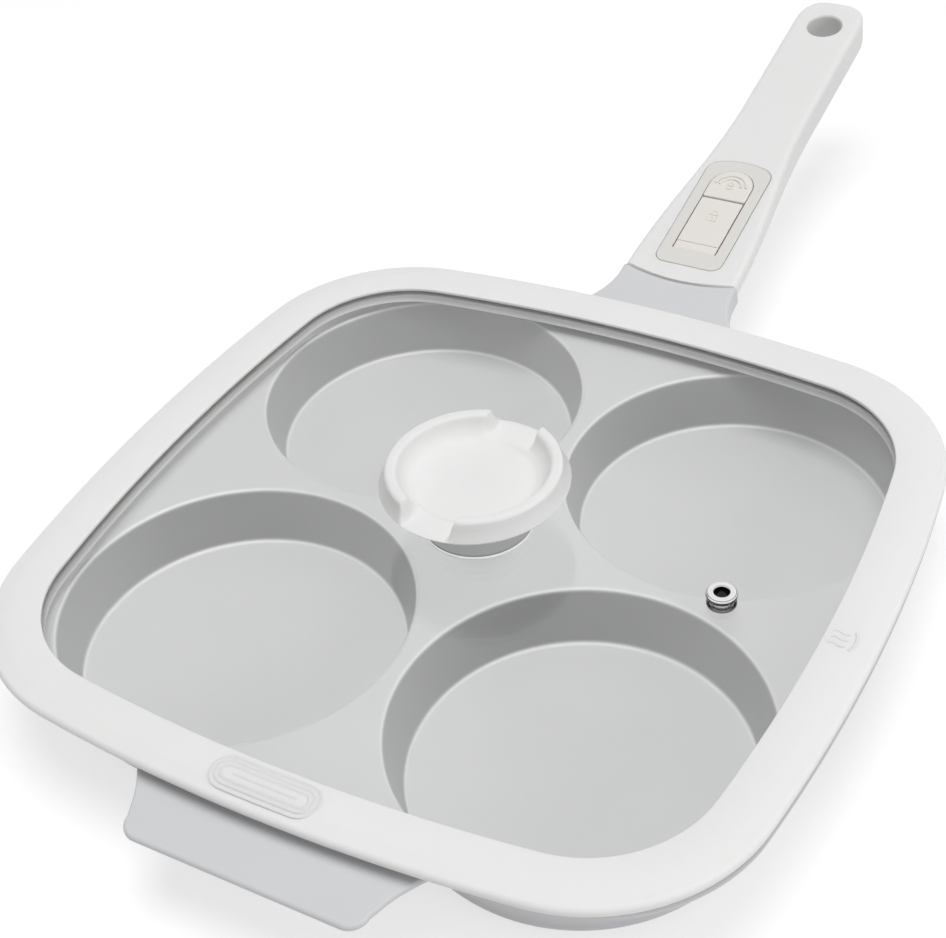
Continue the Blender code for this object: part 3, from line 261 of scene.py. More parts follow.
def disc_centre():
    """Middle of the four base discs, which is the origin of the pan's own frame."""
    corners = [corner for i in range(1, 5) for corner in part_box(f"base_disc_{i}")]
    middle = sum(corners, Vector()) / len(corners)
    return Vector((middle.x, middle.y, 0.0))


def knob_centre():
    low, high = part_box("knob_dish")
    return Vector(((low.x + high.x) / 2, (low.y + high.y) / 2, 0.0))


def shift(x, y, z):
    """A move by millimetres."""
    return Matrix.Translation(Vector((x, y, z)) * MM)


PAN = Matrix.Translation(disc_centre())
LID = Matrix.Translation(knob_centre())
HANDLE = PAN @ shift(0, SEAM_Y, SEAM_Z) @ Matrix.Rotation(HANDLE_RISE, 4, "X")
LEVER = HANDLE @ shift(0, LEVER_PIVOT_Y, -LEVER_PIVOT_DEPTH)
BUTTON = HANDLE @ shift(0, BUTTON_CENTRE_Y, 0)
ON_GLASS = LID @ shift(0, 0, GLASS_TOP_Z)
AT_VENT = LID @ shift(VENT_X, 0, 0)


def share_of(value, low, high):
    """How far a value is on its way from low to high, kept between 0 and 1."""
    return min(max((value - low) / (high - low), 0.0), 1.0)


def arc(centre, radius, start, end, count):
    """Points of an arc, both ends included. Angles are in degrees."""
    points = []
    for i in range(count + 1):
        angle = math.radians(start + (end - start) * i / count)
        points.append((centre[0] + radius * math.cos(angle), centre[1] + radius * math.sin(angle)))
    return points


def circle(radius, steps, centre=(0, 0)):
    angles = [math.tau * i / steps for i in range(steps)]
    return [(centre[0] + radius * math.sin(a), centre[1] + radius * math.cos(a)) for a in angles]


def curve_through(points, steps):
    """A smooth line through the points, with steps parts between each pair."""
    ends = [points[0]] + list(points) + [points[-1]]
    line = []
    for four in zip(ends, ends[1:], ends[2:], ends[3:]):
        for i in range(steps):
            t = i / steps
            weights = (-t + 2 * t ** 2 - t ** 3, 2 - 5 * t ** 2 + 3 * t ** 3,
                       t + 4 * t ** 2 - 3 * t ** 3, t ** 3 - t ** 2)
            line.append(tuple(sum(w * c for w, c in zip(weights, places)) / 2 for places in zip(*four)))
    return line + [tuple(points[-1])]


def full_corner(reach_x, reach_y, squareness, steps):
    """Points from (reach_x, 0) to (0, reach_y) along a quarter of a superellipse, without the first."""
    points = []
    for i in range(1, steps + 1):
        angle = math.pi / 2 * i / steps
        across = max(math.cos(angle), 0.0) ** (2 / squareness)
        points.append((reach_x * across, reach_y * math.sin(angle) ** (2 / squareness)))
    return points


def mirrored(half):
    """Close a right-hand outline, whose ends lie on x = 0, with its mirror image."""
    return half + [(-point[0], *point[1:]) for point in reversed(half[1:-1])]


def at_height(loop, z):
    return [(x, y, z) for x, y in loop]


def rounded_square(half_x, half_y, side_radius, corner_radius):
    """A square with bowed sides and round corners, every stretch an arc that meets the next smoothly."""
    right = (half_x - side_radius, 0.0)
    top = (0.0, half_y - side_radius)
    span = side_radius - corner_radius
    middle = Vector(((right[0] + top[0]) / 2, (right[1] + top[1]) / 2))
    across = Vector((right[0] - top[0], right[1] - top[1]))
    along = Vector((-across.y, across.x)).normalized()
    if along.x < 0:
        along = -along
    corner = middle + along * math.sqrt(span ** 2 - (across.length / 2) ** 2)
    side_angle = math.degrees(math.atan2(corner.y - right[1], corner.x - right[0]))
    top_angle = math.degrees(math.atan2(corner.y - top[1], corner.x - top[0]))
    quarter = arc(top, side_radius, 90, top_angle, SIDE_POINTS)
    quarter += arc(corner, corner_radius, top_angle, side_angle, CORNER_POINTS)[1:]
    quarter += arc(right, side_radius, side_angle, 0, SIDE_POINTS)[1:]
    return mirrored(quarter + [(x, -y) for x, y in reversed(quarter[:-1])])


def square_loop(half_y, offset, z):
    loop = rounded_square(
        OPENING_HALF_X + offset, half_y + offset,
        OPENING_SIDE_RADIUS + offset, OPENING_CORNER_RADIUS + offset,
    )
    return at_height(loop, z)


def turned(profile, steps, centre=(0, 0)):
    """Rings of a turned shape from its (radius, height) profile."""
    return [at_height(circle(radius, steps, centre), z) for radius, z in profile]


def box(low, high):
    """Two rings for a block between two corners."""
    middle = (low[0] + high[0]) / 2
    loop = [(middle, high[1]), (high[0], high[1]), (high[0], low[1])]
    loop += [(middle, low[1]), (low[0], low[1]), (low[0], high[1])]
    return [at_height(loop, low[2]), at_height(loop, high[2])]


def is_flat(row):
    normal = geometry.normal([vertex.co for vertex in row])
    return all(abs((vertex.co - row[0].co).dot(normal)) < FLATNESS * MM for vertex in row)


def add_cap(bm, row):
    """Close a ring with one face if it is flat, or else with strips from its right side to its left."""
    if is_flat(row):
        bm.faces.new(row)
        return
    count = len(row)
    middle = count // 2
    bm.faces.new((row[0], row[1], row[-1]))
    for i in range(1, middle - 1):
        bm.faces.new((row[i], row[i + 1], row[count - i - 1], row[count - i]))
    bm.faces.new((row[middle - 1], row[middle], row[middle + 1]))


def add_shell(bm, rings, closed, place):
    """Bridge rings of equal length. An open stack gets a cap at each end."""
    count = len(rings[0])
    rows = [[bm.verts.new(place @ (Vector(point) * MM)) for point in ring] for ring in rings]
    pairs = list(zip(rows, rows[1:]))
    if closed:
        pairs.append((rows[-1], rows[0]))
    for lower, upper in pairs:
        for i in range(count):
            j = (i + 1) % count
            bm.faces.new((lower[i], lower[j], upper[j], upper[i]))
    if not closed:
        add_cap(bm, rows[0])
        add_cap(bm, rows[-1])


def solid(name, stacks, place, closed=False):
    """One mesh object from stacks of rings in millimetres in the frame called place."""
    bm = bmesh.new()
    for rings in stacks:
        add_shell(bm, rings, closed, place)
    bmesh.ops.triangulate(bm, faces=[face for face in bm.faces if not is_flat(face.verts)])
    bmesh.ops.recalc_face_normals(bm, faces=bm.faces)
    mesh = bpy.data.meshes.new(name)
    bm.to_mesh(mesh)
    bm.free()
    obj = bpy.data.objects.new(name, mesh)
    bpy.context.collection.objects.link(obj)
    return obj


def apply_modifiers(obj):
    graph = bpy.context.evaluated_depsgraph_get()
    made = bpy.data.meshes.new_from_object(obj.evaluated_get(graph))
    obj.modifiers.clear()
    obj.data = made


CUT, JOIN, KEEP = "DIFFERENCE", "UNION", "INTERSECT"


def carve(obj, *steps):
    """Change a piece by each (operation, tool) pair, and delete the tools."""
    for operation, tool in steps:
        step = obj.modifiers.new(tool.name, "BOOLEAN")
        step.operation = operation
        step.solver = "EXACT"
        step.object = tool
    apply_modifiers(obj)
    for _, tool in steps:
        bpy.data.objects.remove(tool, do_unlink=True)


def dress(obj, look, slot, body, *nodes):
    """Give a piece its material and body, and hide the CAD nodes that it stands for."""
    obj.data.materials.clear()
    obj.data.materials.append(look)
    obj.data.shade_smooth()
    obj.data.set_sharp_from_angle(angle=SHARP)
    shading = obj.modifiers.new("even_normals", "WEIGHTED_NORMAL")
    shading.keep_sharp = True
    if nodes:
        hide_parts(*nodes)
    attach(obj, body)


# Materials
def feed(tree, value, socket):
    """Link a socket to an output, or set it to a constant."""
    if isinstance(value, bpy.types.NodeSocket):
        tree.links.new(value, socket)
    else:
        socket.default_value = value


def add_node(tree, kind, **inputs):
    node = tree.nodes.new(kind)
    for name, value in inputs.items():
        feed(tree, value, node.inputs[name.replace("_", " ")])
    return node


def maths(tree, operation, *values, kind="ShaderNodeMath", result="Value"):
    """Result of one maths node that is fed with outputs and constants."""
    node = tree.nodes.new(kind)
    node.operation = operation
    for value, socket in zip(values, node.inputs):
        feed(tree, value, socket)
    return node.outputs[result]


def vector_maths(tree, operation, *values, result="Vector"):
    return maths(tree, operation, *values, kind="ShaderNodeVectorMath", result=result)


def mix_colours(tree, share, first, second, method="MIX"):
    mix = tree.nodes.new("ShaderNodeMix")
    mix.data_type = "RGBA"
    mix.blend_type = method
    for name, value in (("Factor", share), ("A", first), ("B", second)):
        feed(tree, value, mix.inputs[name])
    return mix.outputs["Result"]


def mix_shaders(tree, share, first, second, output):
    """Show the second shader instead of the first where the share is 1."""
    mix = tree.nodes.new("ShaderNodeMixShader")
    for value, socket in zip((share, first.outputs[0], second.outputs[0]), mix.inputs):
        feed(tree, value, socket)
    tree.links.new(mix.outputs[0], tree.nodes[output].inputs["Surface"])


def object_place(tree):
    return tree.nodes.new("ShaderNodeTexCoord").outputs["Object"]


def parts_of(tree, vector):
    return add_node(tree, "ShaderNodeSeparateXYZ", Vector=vector).outputs


def surface(name, colour, drift, roughness, gloss_drift, grain, relief, stretch=(1, 1, 1), **sockets):
    """A Principled material whose colour, gloss and relief vary with noise fixed to the object."""
    made = bpy.data.materials.new(name)
    made.use_nodes = True
    tree = made.node_tree
    where = object_place(tree)
    spread = add_node(tree, "ShaderNodeMapping", Vector=where, Scale=stretch).outputs[0]
    cloud = add_node(tree, "ShaderNodeTexNoise", Vector=where, Scale=CLOUD_SCALE, Detail=3.0).outputs["Fac"]
    grains = add_node(tree, "ShaderNodeTexNoise", Vector=spread, Scale=grain, Detail=4.0, Roughness=0.6)
    speck = grains.outputs["Fac"]
    both = maths(tree, "MULTIPLY_ADD", speck, SPECK_SHARE, cloud)
    tint = add_node(tree, "ShaderNodeMapRange", Value=both, From_Min=0.4, From_Max=1.0)
    dark = (*[channel * (1 - drift) for channel in colour], 1)
    pale = (*[min(channel * (1 + drift), 1) for channel in colour], 1)
    gloss = add_node(tree, "ShaderNodeMapRange", Value=speck, From_Min=0.3, From_Max=0.7,
                     To_Min=roughness - gloss_drift, To_Max=roughness + gloss_drift)
    bump = add_node(tree, "ShaderNodeBump", Height=speck, Strength=relief, Distance=BUMP_DEPTH)
    sockets["Base Color"] = mix_colours(tree, tint.outputs["Result"], dark, pale)
    sockets["Roughness"] = gloss.outputs["Result"]
    sockets["Normal"] = bump.outputs["Normal"]
    for socket, value in sockets.items():
        feed(tree, value, tree.nodes["Principled BSDF"].inputs[socket.replace("_", " ")])
    return made


def let_lamps_through(made):
    """Let the light that falls on what lies under the glass pass it without being bent."""
    tree = made.node_tree
    path = tree.nodes.new("ShaderNodeLightPath").outputs
    either = maths(tree, "MAXIMUM", path["Is Shadow Ray"], path["Is Diffuse Ray"])
    clear = add_node(tree, "ShaderNodeBsdfTransparent", Color=(0.995, 0.995, 0.99, 1))
    mix_shaders(tree, either, tree.nodes["Principled BSDF"], clear, "Material Output")
    return made


def multiply_by_ramp(made, value, stops, mask=1.0):
    """Multiply the colour by grey levels that follow a value, where the mask is 1."""
    tree = made.node_tree
    base = tree.nodes["Principled BSDF"].inputs["Base Color"]
    ramp = tree.nodes.new("ShaderNodeValToRGB")
    for place, level in stops[1:-1]:
        ramp.color_ramp.elements.new(place)
    for stop, (place, level) in zip(ramp.color_ramp.elements, stops):
        stop.position = place
        stop.color = (level, level, level, 1)
    tree.links.new(value, ramp.inputs[0])
    tint = base.links[0].from_socket
    tree.links.new(mix_colours(tree, mask, tint, ramp.outputs[0], "MULTIPLY"), base)
    return made


def facing_up(tree):
    """How far the surface faces up, from -1 to 1."""
    normal = tree.nodes.new("ShaderNodeNewGeometry").outputs["Normal"]
    return parts_of(tree, normal)["Z"]


def paint_chrome_reflections(made):
    """Painted reflection bands on the polished rings, standing for the dark parts of a room, and painted
    shade inside and underneath.
    """
    return multiply_by_ramp(made, facing_up(made.node_tree), PAINTED_CHROME_REFLECTIONS)


def inside_cups(tree):
    """1 below the deck within the square of the pan's inner walls, and 0 outside it."""
    from_middle = vector_maths(tree, "SUBTRACT", object_place(tree), disc_centre())
    parts = parts_of(tree, vector_maths(tree, "ABSOLUTE", from_middle))
    farther = maths(tree, "MAXIMUM", parts["X"], parts["Y"])
    near = maths(tree, "LESS_THAN", farther, (OPENING_HALF_X + WALL_TOP) * MM)
    low = maths(tree, "LESS_THAN", parts["Z"], (DECK_Z + DECK_SKIN) * MM)
    return maths(tree, "MULTIPLY", near, low)


def paint_wall_shade_and_highlights(made):
    """Painted shade on the steep walls of the cups, darkest on those that face front right, and painted
    highlights on their fillets.
    """
    tree = made.node_tree
    normal = tree.nodes.new("ShaderNodeNewGeometry").outputs["Normal"]
    frontward = vector_maths(tree, "DOT_PRODUCT", normal, DARKEST_PAINTED_WALL_FACING, result="Value")
    focus = maths(tree, "POWER", maths(tree, "MAXIMUM", frontward, 0.0), PAINTED_WALL_SHADE_FOCUS)
    share = maths(tree, "MULTIPLY_ADD", focus, 1.0 - SIDE_WALL_SHARE, SIDE_WALL_SHARE)
    mask = maths(tree, "MULTIPLY", share, inside_cups(tree))
    return multiply_by_ramp(made, facing_up(tree), PAINTED_WALL_SHADE_AND_HIGHLIGHTS, mask)


def shade_rim(made):
    """The silicone at the underside of the glass lies in the rim's own shadow, and less so farther down."""
    tree = made.node_tree
    up = parts_of(tree, object_place(tree))["Z"]
    low, high = (GLASS_UNDER_Z - SHADE_FADE) * MM, (GLASS_UNDER_Z + SHADE_EDGE) * MM
    fade = add_node(tree, "ShaderNodeMapRange", Value=up, From_Min=low, From_Max=high)
    stops = ((0, 1.0), (SHADE_FADE / (SHADE_FADE + SHADE_EDGE), RIM_SHADE), (1, 1.0))
    return multiply_by_ramp(made, fade.outputs["Result"], stops)


CLOUD_SCALE = 14.0
SPECK_SHARE = 0.4
BUMP_DEPTH = 0.0003
RIM_SHADE = 0.55                # grey level of the silicone at the underside of the glass
SHADE_FADE = 2.4                # height over which it fades downwards
SHADE_EDGE = 0.5                # and upwards
DECK_SKIN = 0.1                 # the shading ends this far above the flat of the deck
# The painted shade on the cup walls is darkest on walls that face this way
DARKEST_PAINTED_WALL_FACING = (0.707, -0.707, 0.0)
PAINTED_WALL_SHADE_FOCUS = 3.0
SIDE_WALL_SHARE = 0.53          # how much of the shading the walls to the sides of it keep

# Painted grey levels by how far the surface faces up: shade and highlights on the cup walls, reflection
# bands and shade on the chrome
PAINTED_WALL_SHADE_AND_HIGHLIGHTS = ((0, 1.0), (0.05, 1.0), (0.12, 0.46), (0.52, 0.48), (0.74, 1.1), (0.86, 1.42), (0.97, 1.0))
PAINTED_CHROME_REFLECTIONS = ((0, 0.06), (0.28, 0.09), (0.42, 0.85), (0.66, 0.95), (0.78, 0.3), (0.88, 1.0), (1.0, 0.95))

COATING = paint_wall_shade_and_highlights(
    surface("pan_coating", (0.630, 0.634, 0.648), 0.035, 0.40, 0.05, 1400, 0.06, Coat_Weight=0.12))
SILICONE = shade_rim(
    surface("rim_silicone", (0.825, 0.828, 0.822), 0.02, 0.52, 0.05, 900, 0.08,
            Subsurface_Weight=0.3, Subsurface_Scale=0.002, Subsurface_Radius=(1.0, 1.0, 0.95)))
PLASTIC = surface("white_plastic", (0.80, 0.80, 0.795), 0.015, 0.34, 0.04, 1100, 0.05,
                  Subsurface_Weight=0.3, Subsurface_Scale=0.003, Subsurface_Radius=(1.0, 1.0, 0.97))
# Painted shade: the knob foot's white plastic is painted grey for the shade under the dish
SHADED_PLASTIC = surface("foot_plastic", (0.325, 0.330, 0.330), 0.015, 0.34, 0.04, 1100, 0.05)
CREAM = surface("cream_plastic", (0.775, 0.745, 0.705), 0.02, 0.40, 0.04, 1500, 0.08)
PANEL = surface("panel_plastic", (0.715, 0.70, 0.67), 0.02, 0.42, 0.04, 1500, 0.08)
STEEL = surface("brushed_steel", (0.60, 0.60, 0.61), 0.06, 0.30, 0.08, 300, 0.25, (1, 8, 8), Metallic=1.0)
CHROME = paint_chrome_reflections(
    surface("bright_chrome", (0.80, 0.80, 0.80), 0.03, 0.10, 0.03, 700, 0.02, Metallic=1.0))
# Painted shade: the vent collar under the glass is chrome painted dark for the shade it lies in
SHADE_PAINTED_CHROME = surface("shaded_chrome", (0.13, 0.13, 0.13), 0.03, 0.18, 0.03, 700, 0.02, Metallic=1.0)
BRASS = surface("turned_brass", (0.75, 0.58, 0.28), 0.06, 0.30, 0.06, 600, 0.10, Metallic=1.0)
INNER = surface("inner_plastic", (0.42, 0.42, 0.43), 0.05, 0.50, 0.06, 1000, 0.12)
GLASS = let_lamps_through(
    surface("clear_glass", (0.985, 0.985, 0.98), 0.005, 0.01, 0.01, 200, 0.0,
            Transmission_Weight=1.0, IOR=1.48, Specular_IOR_Level=1.0))


# Pan
def cup_centres():
    for y in (CUP_HALF_PITCH, -CUP_HALF_PITCH):
        for x in (-CUP_HALF_PITCH, CUP_HALF_PITCH):
            yield x, y


def tray_rings():
    """The pan without its cups, from the deck over the flange to the underside of the deck."""
    section = arc((DECK_EDGE, DECK_Z + DECK_FILLET), DECK_FILLET, -90, 0, ARC_STEPS)
    section += arc((WALL_TOP, FLANGE_Z - EDGE_BREAK), EDGE_BREAK, 180, 90, 3)
    edge = FLANGE_THICKNESS / 2
    section += arc((FLANGE_OUT - edge, FLANGE_Z - edge), edge, 90, -90, ARC_STEPS)
    under = [(WALL_OUT + 0.6, FLANGE_Z - FLANGE_THICKNESS), (WALL_OUT, FLANGE_Z - FLANGE_THICKNESS - 0.5)]
    under += [(WALL_FOOT + 1.6, DECK_UNDER_Z + DECK_UNDER_FILLET), (DECK_EDGE + 1.2, DECK_UNDER_Z)]
    section += curve_through(under, 4)
    section.append((DECK_EDGE, DECK_UNDER_Z))
    return [square_loop(PAN_HALF_Y, offset, z) for offset, z in section]


def cup_outside(centre):
    rim = CUP_RIM_RADIUS + CUP_WALL
    profile = [(rim, DECK_UNDER_Z + 1.4), (rim, DECK_UNDER_Z - CUP_SKIRT)]
    profile += arc((CUP_HEEL_CENTRE, BASE_STANDOFF + CUP_HEEL_RADIUS), CUP_HEEL_RADIUS, 0, -90, ARC_STEPS)
    recess = DISC_RADIUS + FIT
    profile += [(recess, BASE_STANDOFF), (recess, DISC_THICKNESS + FIT)]
    return turned(profile, CUP_STEPS, centre)


def cup_inside(centre):
    rim = CUP_RIM_RADIUS + CUP_RIM_FILLET
    profile = [(rim, DECK_Z + DECK_FILLET)]
    profile += arc((rim, DECK_Z - CUP_RIM_FILLET), CUP_RIM_FILLET, 90, 180, ARC_STEPS)
    floor = CUP_FLOOR_RADIUS - CUP_FLOOR_FILLET
    profile += arc((floor, CUP_FLOOR_Z + CUP_FLOOR_FILLET), CUP_FLOOR_FILLET, 0, -90, ARC_STEPS)
    return turned(profile, CUP_STEPS, centre)


def lug_half(y):
    """Half-width of the lug, which flares towards the pan."""
    root = (LUG_ROOT_Y - SEAM_Y) / math.cos(HANDLE_RISE)
    return LUG_HALF + LUG_FLARE * share_of(y, 0, root) ** 2


def lug_loop(inset, depth):
    """Plan outline of the lug at one depth below the top face of the handle."""
    root = (LUG_ROOT_Y - SEAM_Y - depth * math.sin(HANDLE_RISE)) / math.cos(HANDLE_RISE)
    end_inset = FIT + LUG_END_SHARE * inset
    count = STATIONS // 2
    half = [(0.0, root)]
    for i in range(count):
        y = root * (1 - i / count)
        half.append((lug_half(y) - inset, y))
    width = LUG_HALF - inset
    for share in reversed(SEAM_SHARES):
        half.append((width * share, SEAM_BOW * share ** 2 - end_inset))
    return at_height(mirrored(half), -depth)


def lip_loop(inset, drop):
    """Plan outline of the helper lip, which slopes down away from the pan."""
    root = PAN_HALF_Y + FLANGE_OUT - FLANGE_THICKNESS
    tip = root + FLANGE_THICKNESS + LIP_LENGTH
    corner = LIP_CORNER
    waist = ((LIP_ROOT_HALF + LIP_TIP_HALF) / 2 - LIP_WAIST - inset, (root + tip) / 2 - corner / 2)
    start, end = (LIP_ROOT_HALF - inset, root), (LIP_TIP_HALF - inset, tip - corner)
    half = [(0.0, root)] + curve_through([start, waist, end], 6)[:-1]
    half += arc((LIP_TIP_HALF - corner, tip - corner), corner - inset, 0, 90, 12)
    half.append((0.0, tip - inset))
    slope = LIP_DROP / (tip - root)
    return [(x, -y, FLANGE_Z - LIP_STEP - drop - slope * (y - root)) for x, y in mirrored(half)]


def slab_rings(loop, thickness, edge, steps):
    """A plate with round edges, from the function that gives its outline at an inset and a depth."""
    quarter = [(edge - y, edge - x) for x, y in arc((0, 0), edge, 0, 90, steps)]
    rings = [loop(inset, depth) for inset, depth in quarter]
    return rings + [loop(inset, thickness - depth) for inset, depth in reversed(quarter)]


def cut_cross(head, place, y, reach, half_width, low, high):
    """Cut a cross recess into the head of a screw."""
    for half_x, half_y in ((reach, half_width), (half_width, reach)):
        slot = box((-half_x, y - half_y, low), (half_x, y + half_y, high))
        carve(head, (CUT, solid("slot", [slot], place)))


def build_pan():
    body = solid("pan", [tray_rings()], PAN)
    pocket_low = (-TONGUE_HALF - FIT, -TONGUE_ROOT - FIT, -TONGUE_LUG_DEPTH - TONGUE_THICKNESS - FIT)
    pocket_high = (TONGUE_HALF + FIT, SEAM_BOW + CUT_RUN, -TONGUE_LUG_DEPTH + FIT)
    hole = [(RIVET_RADIUS + FIT, -LUG_THICKNESS - CUT_RUN), (RIVET_RADIUS + FIT, -TONGUE_LUG_DEPTH - 0.5)]
    holes = [turned(hole, SMALL_STEPS, (x, RIVET_Y)) for x in (-RIVET_X, RIVET_X)]
    carve(
        body,
        (JOIN, solid("outsides", [cup_outside(centre) for centre in cup_centres()], PAN)),
        (JOIN, solid("lug", [slab_rings(lug_loop, LUG_THICKNESS, LUG_EDGE, 5)], HANDLE)),
        (JOIN, solid("lip", [slab_rings(lip_loop, LIP_THICKNESS, LIP_EDGE, 4)], PAN)),
        (CUT, solid("insides", [cup_inside(centre) for centre in cup_centres()], PAN)),
        (CUT, solid("pocket", [box(pocket_low, pocket_high)], HANDLE)),
        (CUT, solid("holes", holes, HANDLE)),
    )
    dress(body, COATING, "coated_metal", "pan", "pan_body")
    for number, centre in enumerate(cup_centres(), 1):
        profile = [(DISC_RADIUS, DISC_THICKNESS), (DISC_RADIUS, FINE_BREAK), (DISC_RADIUS - FINE_BREAK, 0)]
        for radius in DISC_GROOVES:
            profile += [(radius + GROOVE_HALF, 0), (radius, GROOVE_DEPTH), (radius - GROOVE_HALF, 0)]
        disc = solid(f"base_plate_{number}", [turned(profile, CUP_STEPS)], PAN @ shift(*centre, 0))
        dress(disc, STEEL, "steel", "pan", f"base_disc_{number}")


# Lid
def rim_rings():
    """Section of the silicone rim: top face, brim, seat on the flange, locating lip and groove."""
    seat = FLANGE_Z + FIT
    lip_z = seat - RIM_LIP_DEPTH
    groove_out = RIM_COVER + FIT
    section = arc((RIM_INNER_EDGE, RIM_TOP_Z - RIM_INNER_EDGE), RIM_INNER_EDGE, 180, 90, 4)
    crown = [(RIM_CROWN_START, RIM_TOP_Z + 0.14), (5.0, RIM_TOP_Z + RIM_CROWN)]
    crown += [(9.5, RIM_TOP_Z + RIM_CROWN - 0.05), (12.6, RIM_TOP_Z - 0.2)]
    section += curve_through(crown, 3)
    section += arc((RIM_WIDTH - RIM_EDGE, RIM_TOP_Z - RIM_EDGE_DROP), RIM_EDGE, 72, -6, 12)
    under = RIM_TOP_Z - RIM_EDGE_DEPTH
    section += arc((RIM_WIDTH - 0.8, under + 0.5), 0.6, -10, -60, 4)
    section += [(RIM_SEAT_OUT + 0.2, seat + 0.3), (RIM_SEAT_OUT - 0.2, seat)]
    step = RIM_LIP_STEP
    section += [(RIM_LIP_OUT + step, seat), (RIM_LIP_OUT, seat - step), (RIM_LIP_OUT, lip_z)]
    section += arc((RIM_LIP_BREAK, lip_z + RIM_LIP_BREAK), RIM_LIP_BREAK, -90, -180, 3)
    section += [(0.0, GLASS_UNDER_Z - FIT), (groove_out, GLASS_UNDER_Z - FIT)]
    section += [(groove_out, GLASS_TOP_Z + FIT), (0.0, GLASS_TOP_Z + FIT)]
    return [square_loop(LID_HALF_Y, offset, z) for offset, z in section]


def knob_rings():
    """The dish, with its raised wall let down to the floor at a gap in front and one behind."""
    edge, crest, neck = KNOB_EDGE_RADIUS, KNOB_CREST_RADIUS, KNOB_NECK_RADIUS
    floor, split = KNOB_FLOOR_HEIGHT, KNOB_SPLIT_HEIGHT + FIT
    top = [(6.0, floor), (KNOB_FLOOR_RADIUS - 1.5, floor)]
    top += curve_through([(KNOB_FLOOR_RADIUS, floor + 0.2), (20.2, floor + 1.2), (21.7, floor + 3.0),
                          (22.6, floor + 4.9)], 5)[:-1]
    top += arc((crest - 1.8, KNOB_CREST_HEIGHT - 1.5), 1.5, 165, 95, 6)
    top += arc((crest - 0.9, KNOB_CREST_HEIGHT - 1.5), 1.5, 80, 15, 6)
    outer = [(crest + 1.1, floor + 4.1), (crest + 1.9, floor + 2.3), (edge, KNOB_EDGE_HEIGHT)]
    top += curve_through(outer, 5)
    under = curve_through([(edge - 0.7, KNOB_EDGE_HEIGHT - 1.0), (24.0, 14.6), ((edge + neck) / 2, 13.2),
                           (neck + 4.0, 11.9), (neck + 1.2, 10.6), (neck + 0.4, split)], 5)
    rings = []
    for radius, height in top:
        ring = []
        for x, y in circle(radius, KNOB_STEPS):
            gap = share_of(abs(x), KNOB_GAP_INNER, KNOB_GAP_OUTER)
            wall = gap * gap * (3 - 2 * gap)
            low = min(height, KNOB_EDGE_HEIGHT)
            ring.append((x, y, low + (height - low) * wall))
        rings.append(ring)
    return rings + turned(under, KNOB_STEPS)


def build_knob():
    dish = solid("knob_dish_top", [knob_rings()], ON_GLASS @ Matrix.Rotation(KNOB_GAP_TURN, 4, "Z"))
    socket = [(KNOB_BORE_RADIUS, KNOB_SPLIT_HEIGHT - CUT_RUN), (KNOB_BORE_RADIUS, KNOB_BORE_TOP)]
    carve(dish, (CUT, solid("socket", [turned(socket, SMALL_STEPS)], ON_GLASS)))
    dress(dish, PLASTIC, "white_plastic", "lid", "knob_dish")

    clear = KNOB_SCREW_RADIUS + FIT
    neck = KNOB_NECK_RADIUS
    foot_z = 1.4
    side = [(neck + 0.4, KNOB_SPLIT_HEIGHT), (neck, 5.6), (neck + 0.5, 4.2), (neck + 1.7, 3.1),
            (KNOB_FOOT_RADIUS - 0.6, 2.2)]
    profile = [(clear, KNOB_SPLIT_HEIGHT)] + curve_through(side, 5)
    profile += arc((KNOB_FOOT_RADIUS - 0.35, foot_z + 0.35), 0.35, 70, 0, 3)
    profile += [(KNOB_FOOT_RADIUS, foot_z), (clear, foot_z)]
    foot = solid("knob_foot", [turned(profile, CUP_STEPS)], ON_GLASS, closed=True)
    dress(foot, SHADED_PLASTIC, "white_plastic", "lid", "knob_base")

    seal_out = KNOB_FOOT_RADIUS + 0.15
    seal = [(clear, 0.3)] + arc((seal_out - 0.3, 0.7), 0.4, -60, 60, 4) + [(clear, 1.1)]
    gasket = solid("knob_seal", [turned(seal, CUP_STEPS)], ON_GLASS, closed=True)
    dress(gasket, SILICONE, "white_silicone", "lid", "knob_gasket")

    high = GLASS_UNDER_Z - FIT
    washer = [(clear, high - 1.2), (7.7, high - 1.2), (8.0, high - 0.9)]
    washer += [(8.0, high - 0.3), (7.7, high), (clear, high)]
    plate = solid("under_washer", [turned(washer, TURN_STEPS)], LID, closed=True)
    dress(plate, STEEL, "steel", "lid", "knob_washer")

    head_z = high - 1.5
    screw = [(2.0, GLASS_TOP_Z + 12.6), (2.0, head_z), (4.6, head_z), (4.6, head_z - 0.6)]
    screw += arc((2.6, head_z - 0.6), 2.0, 0, -50, 4)[1:] + [(1.4, head_z - 2.2)]
    bolt = solid("knob_bolt", [turned(screw, TURN_STEPS)], LID)
    cut_cross(bolt, LID, 0, 2.2, 0.45, head_z - 3.0, head_z - 1.2)
    dress(bolt, STEEL, "steel", "lid", "knob_screw")


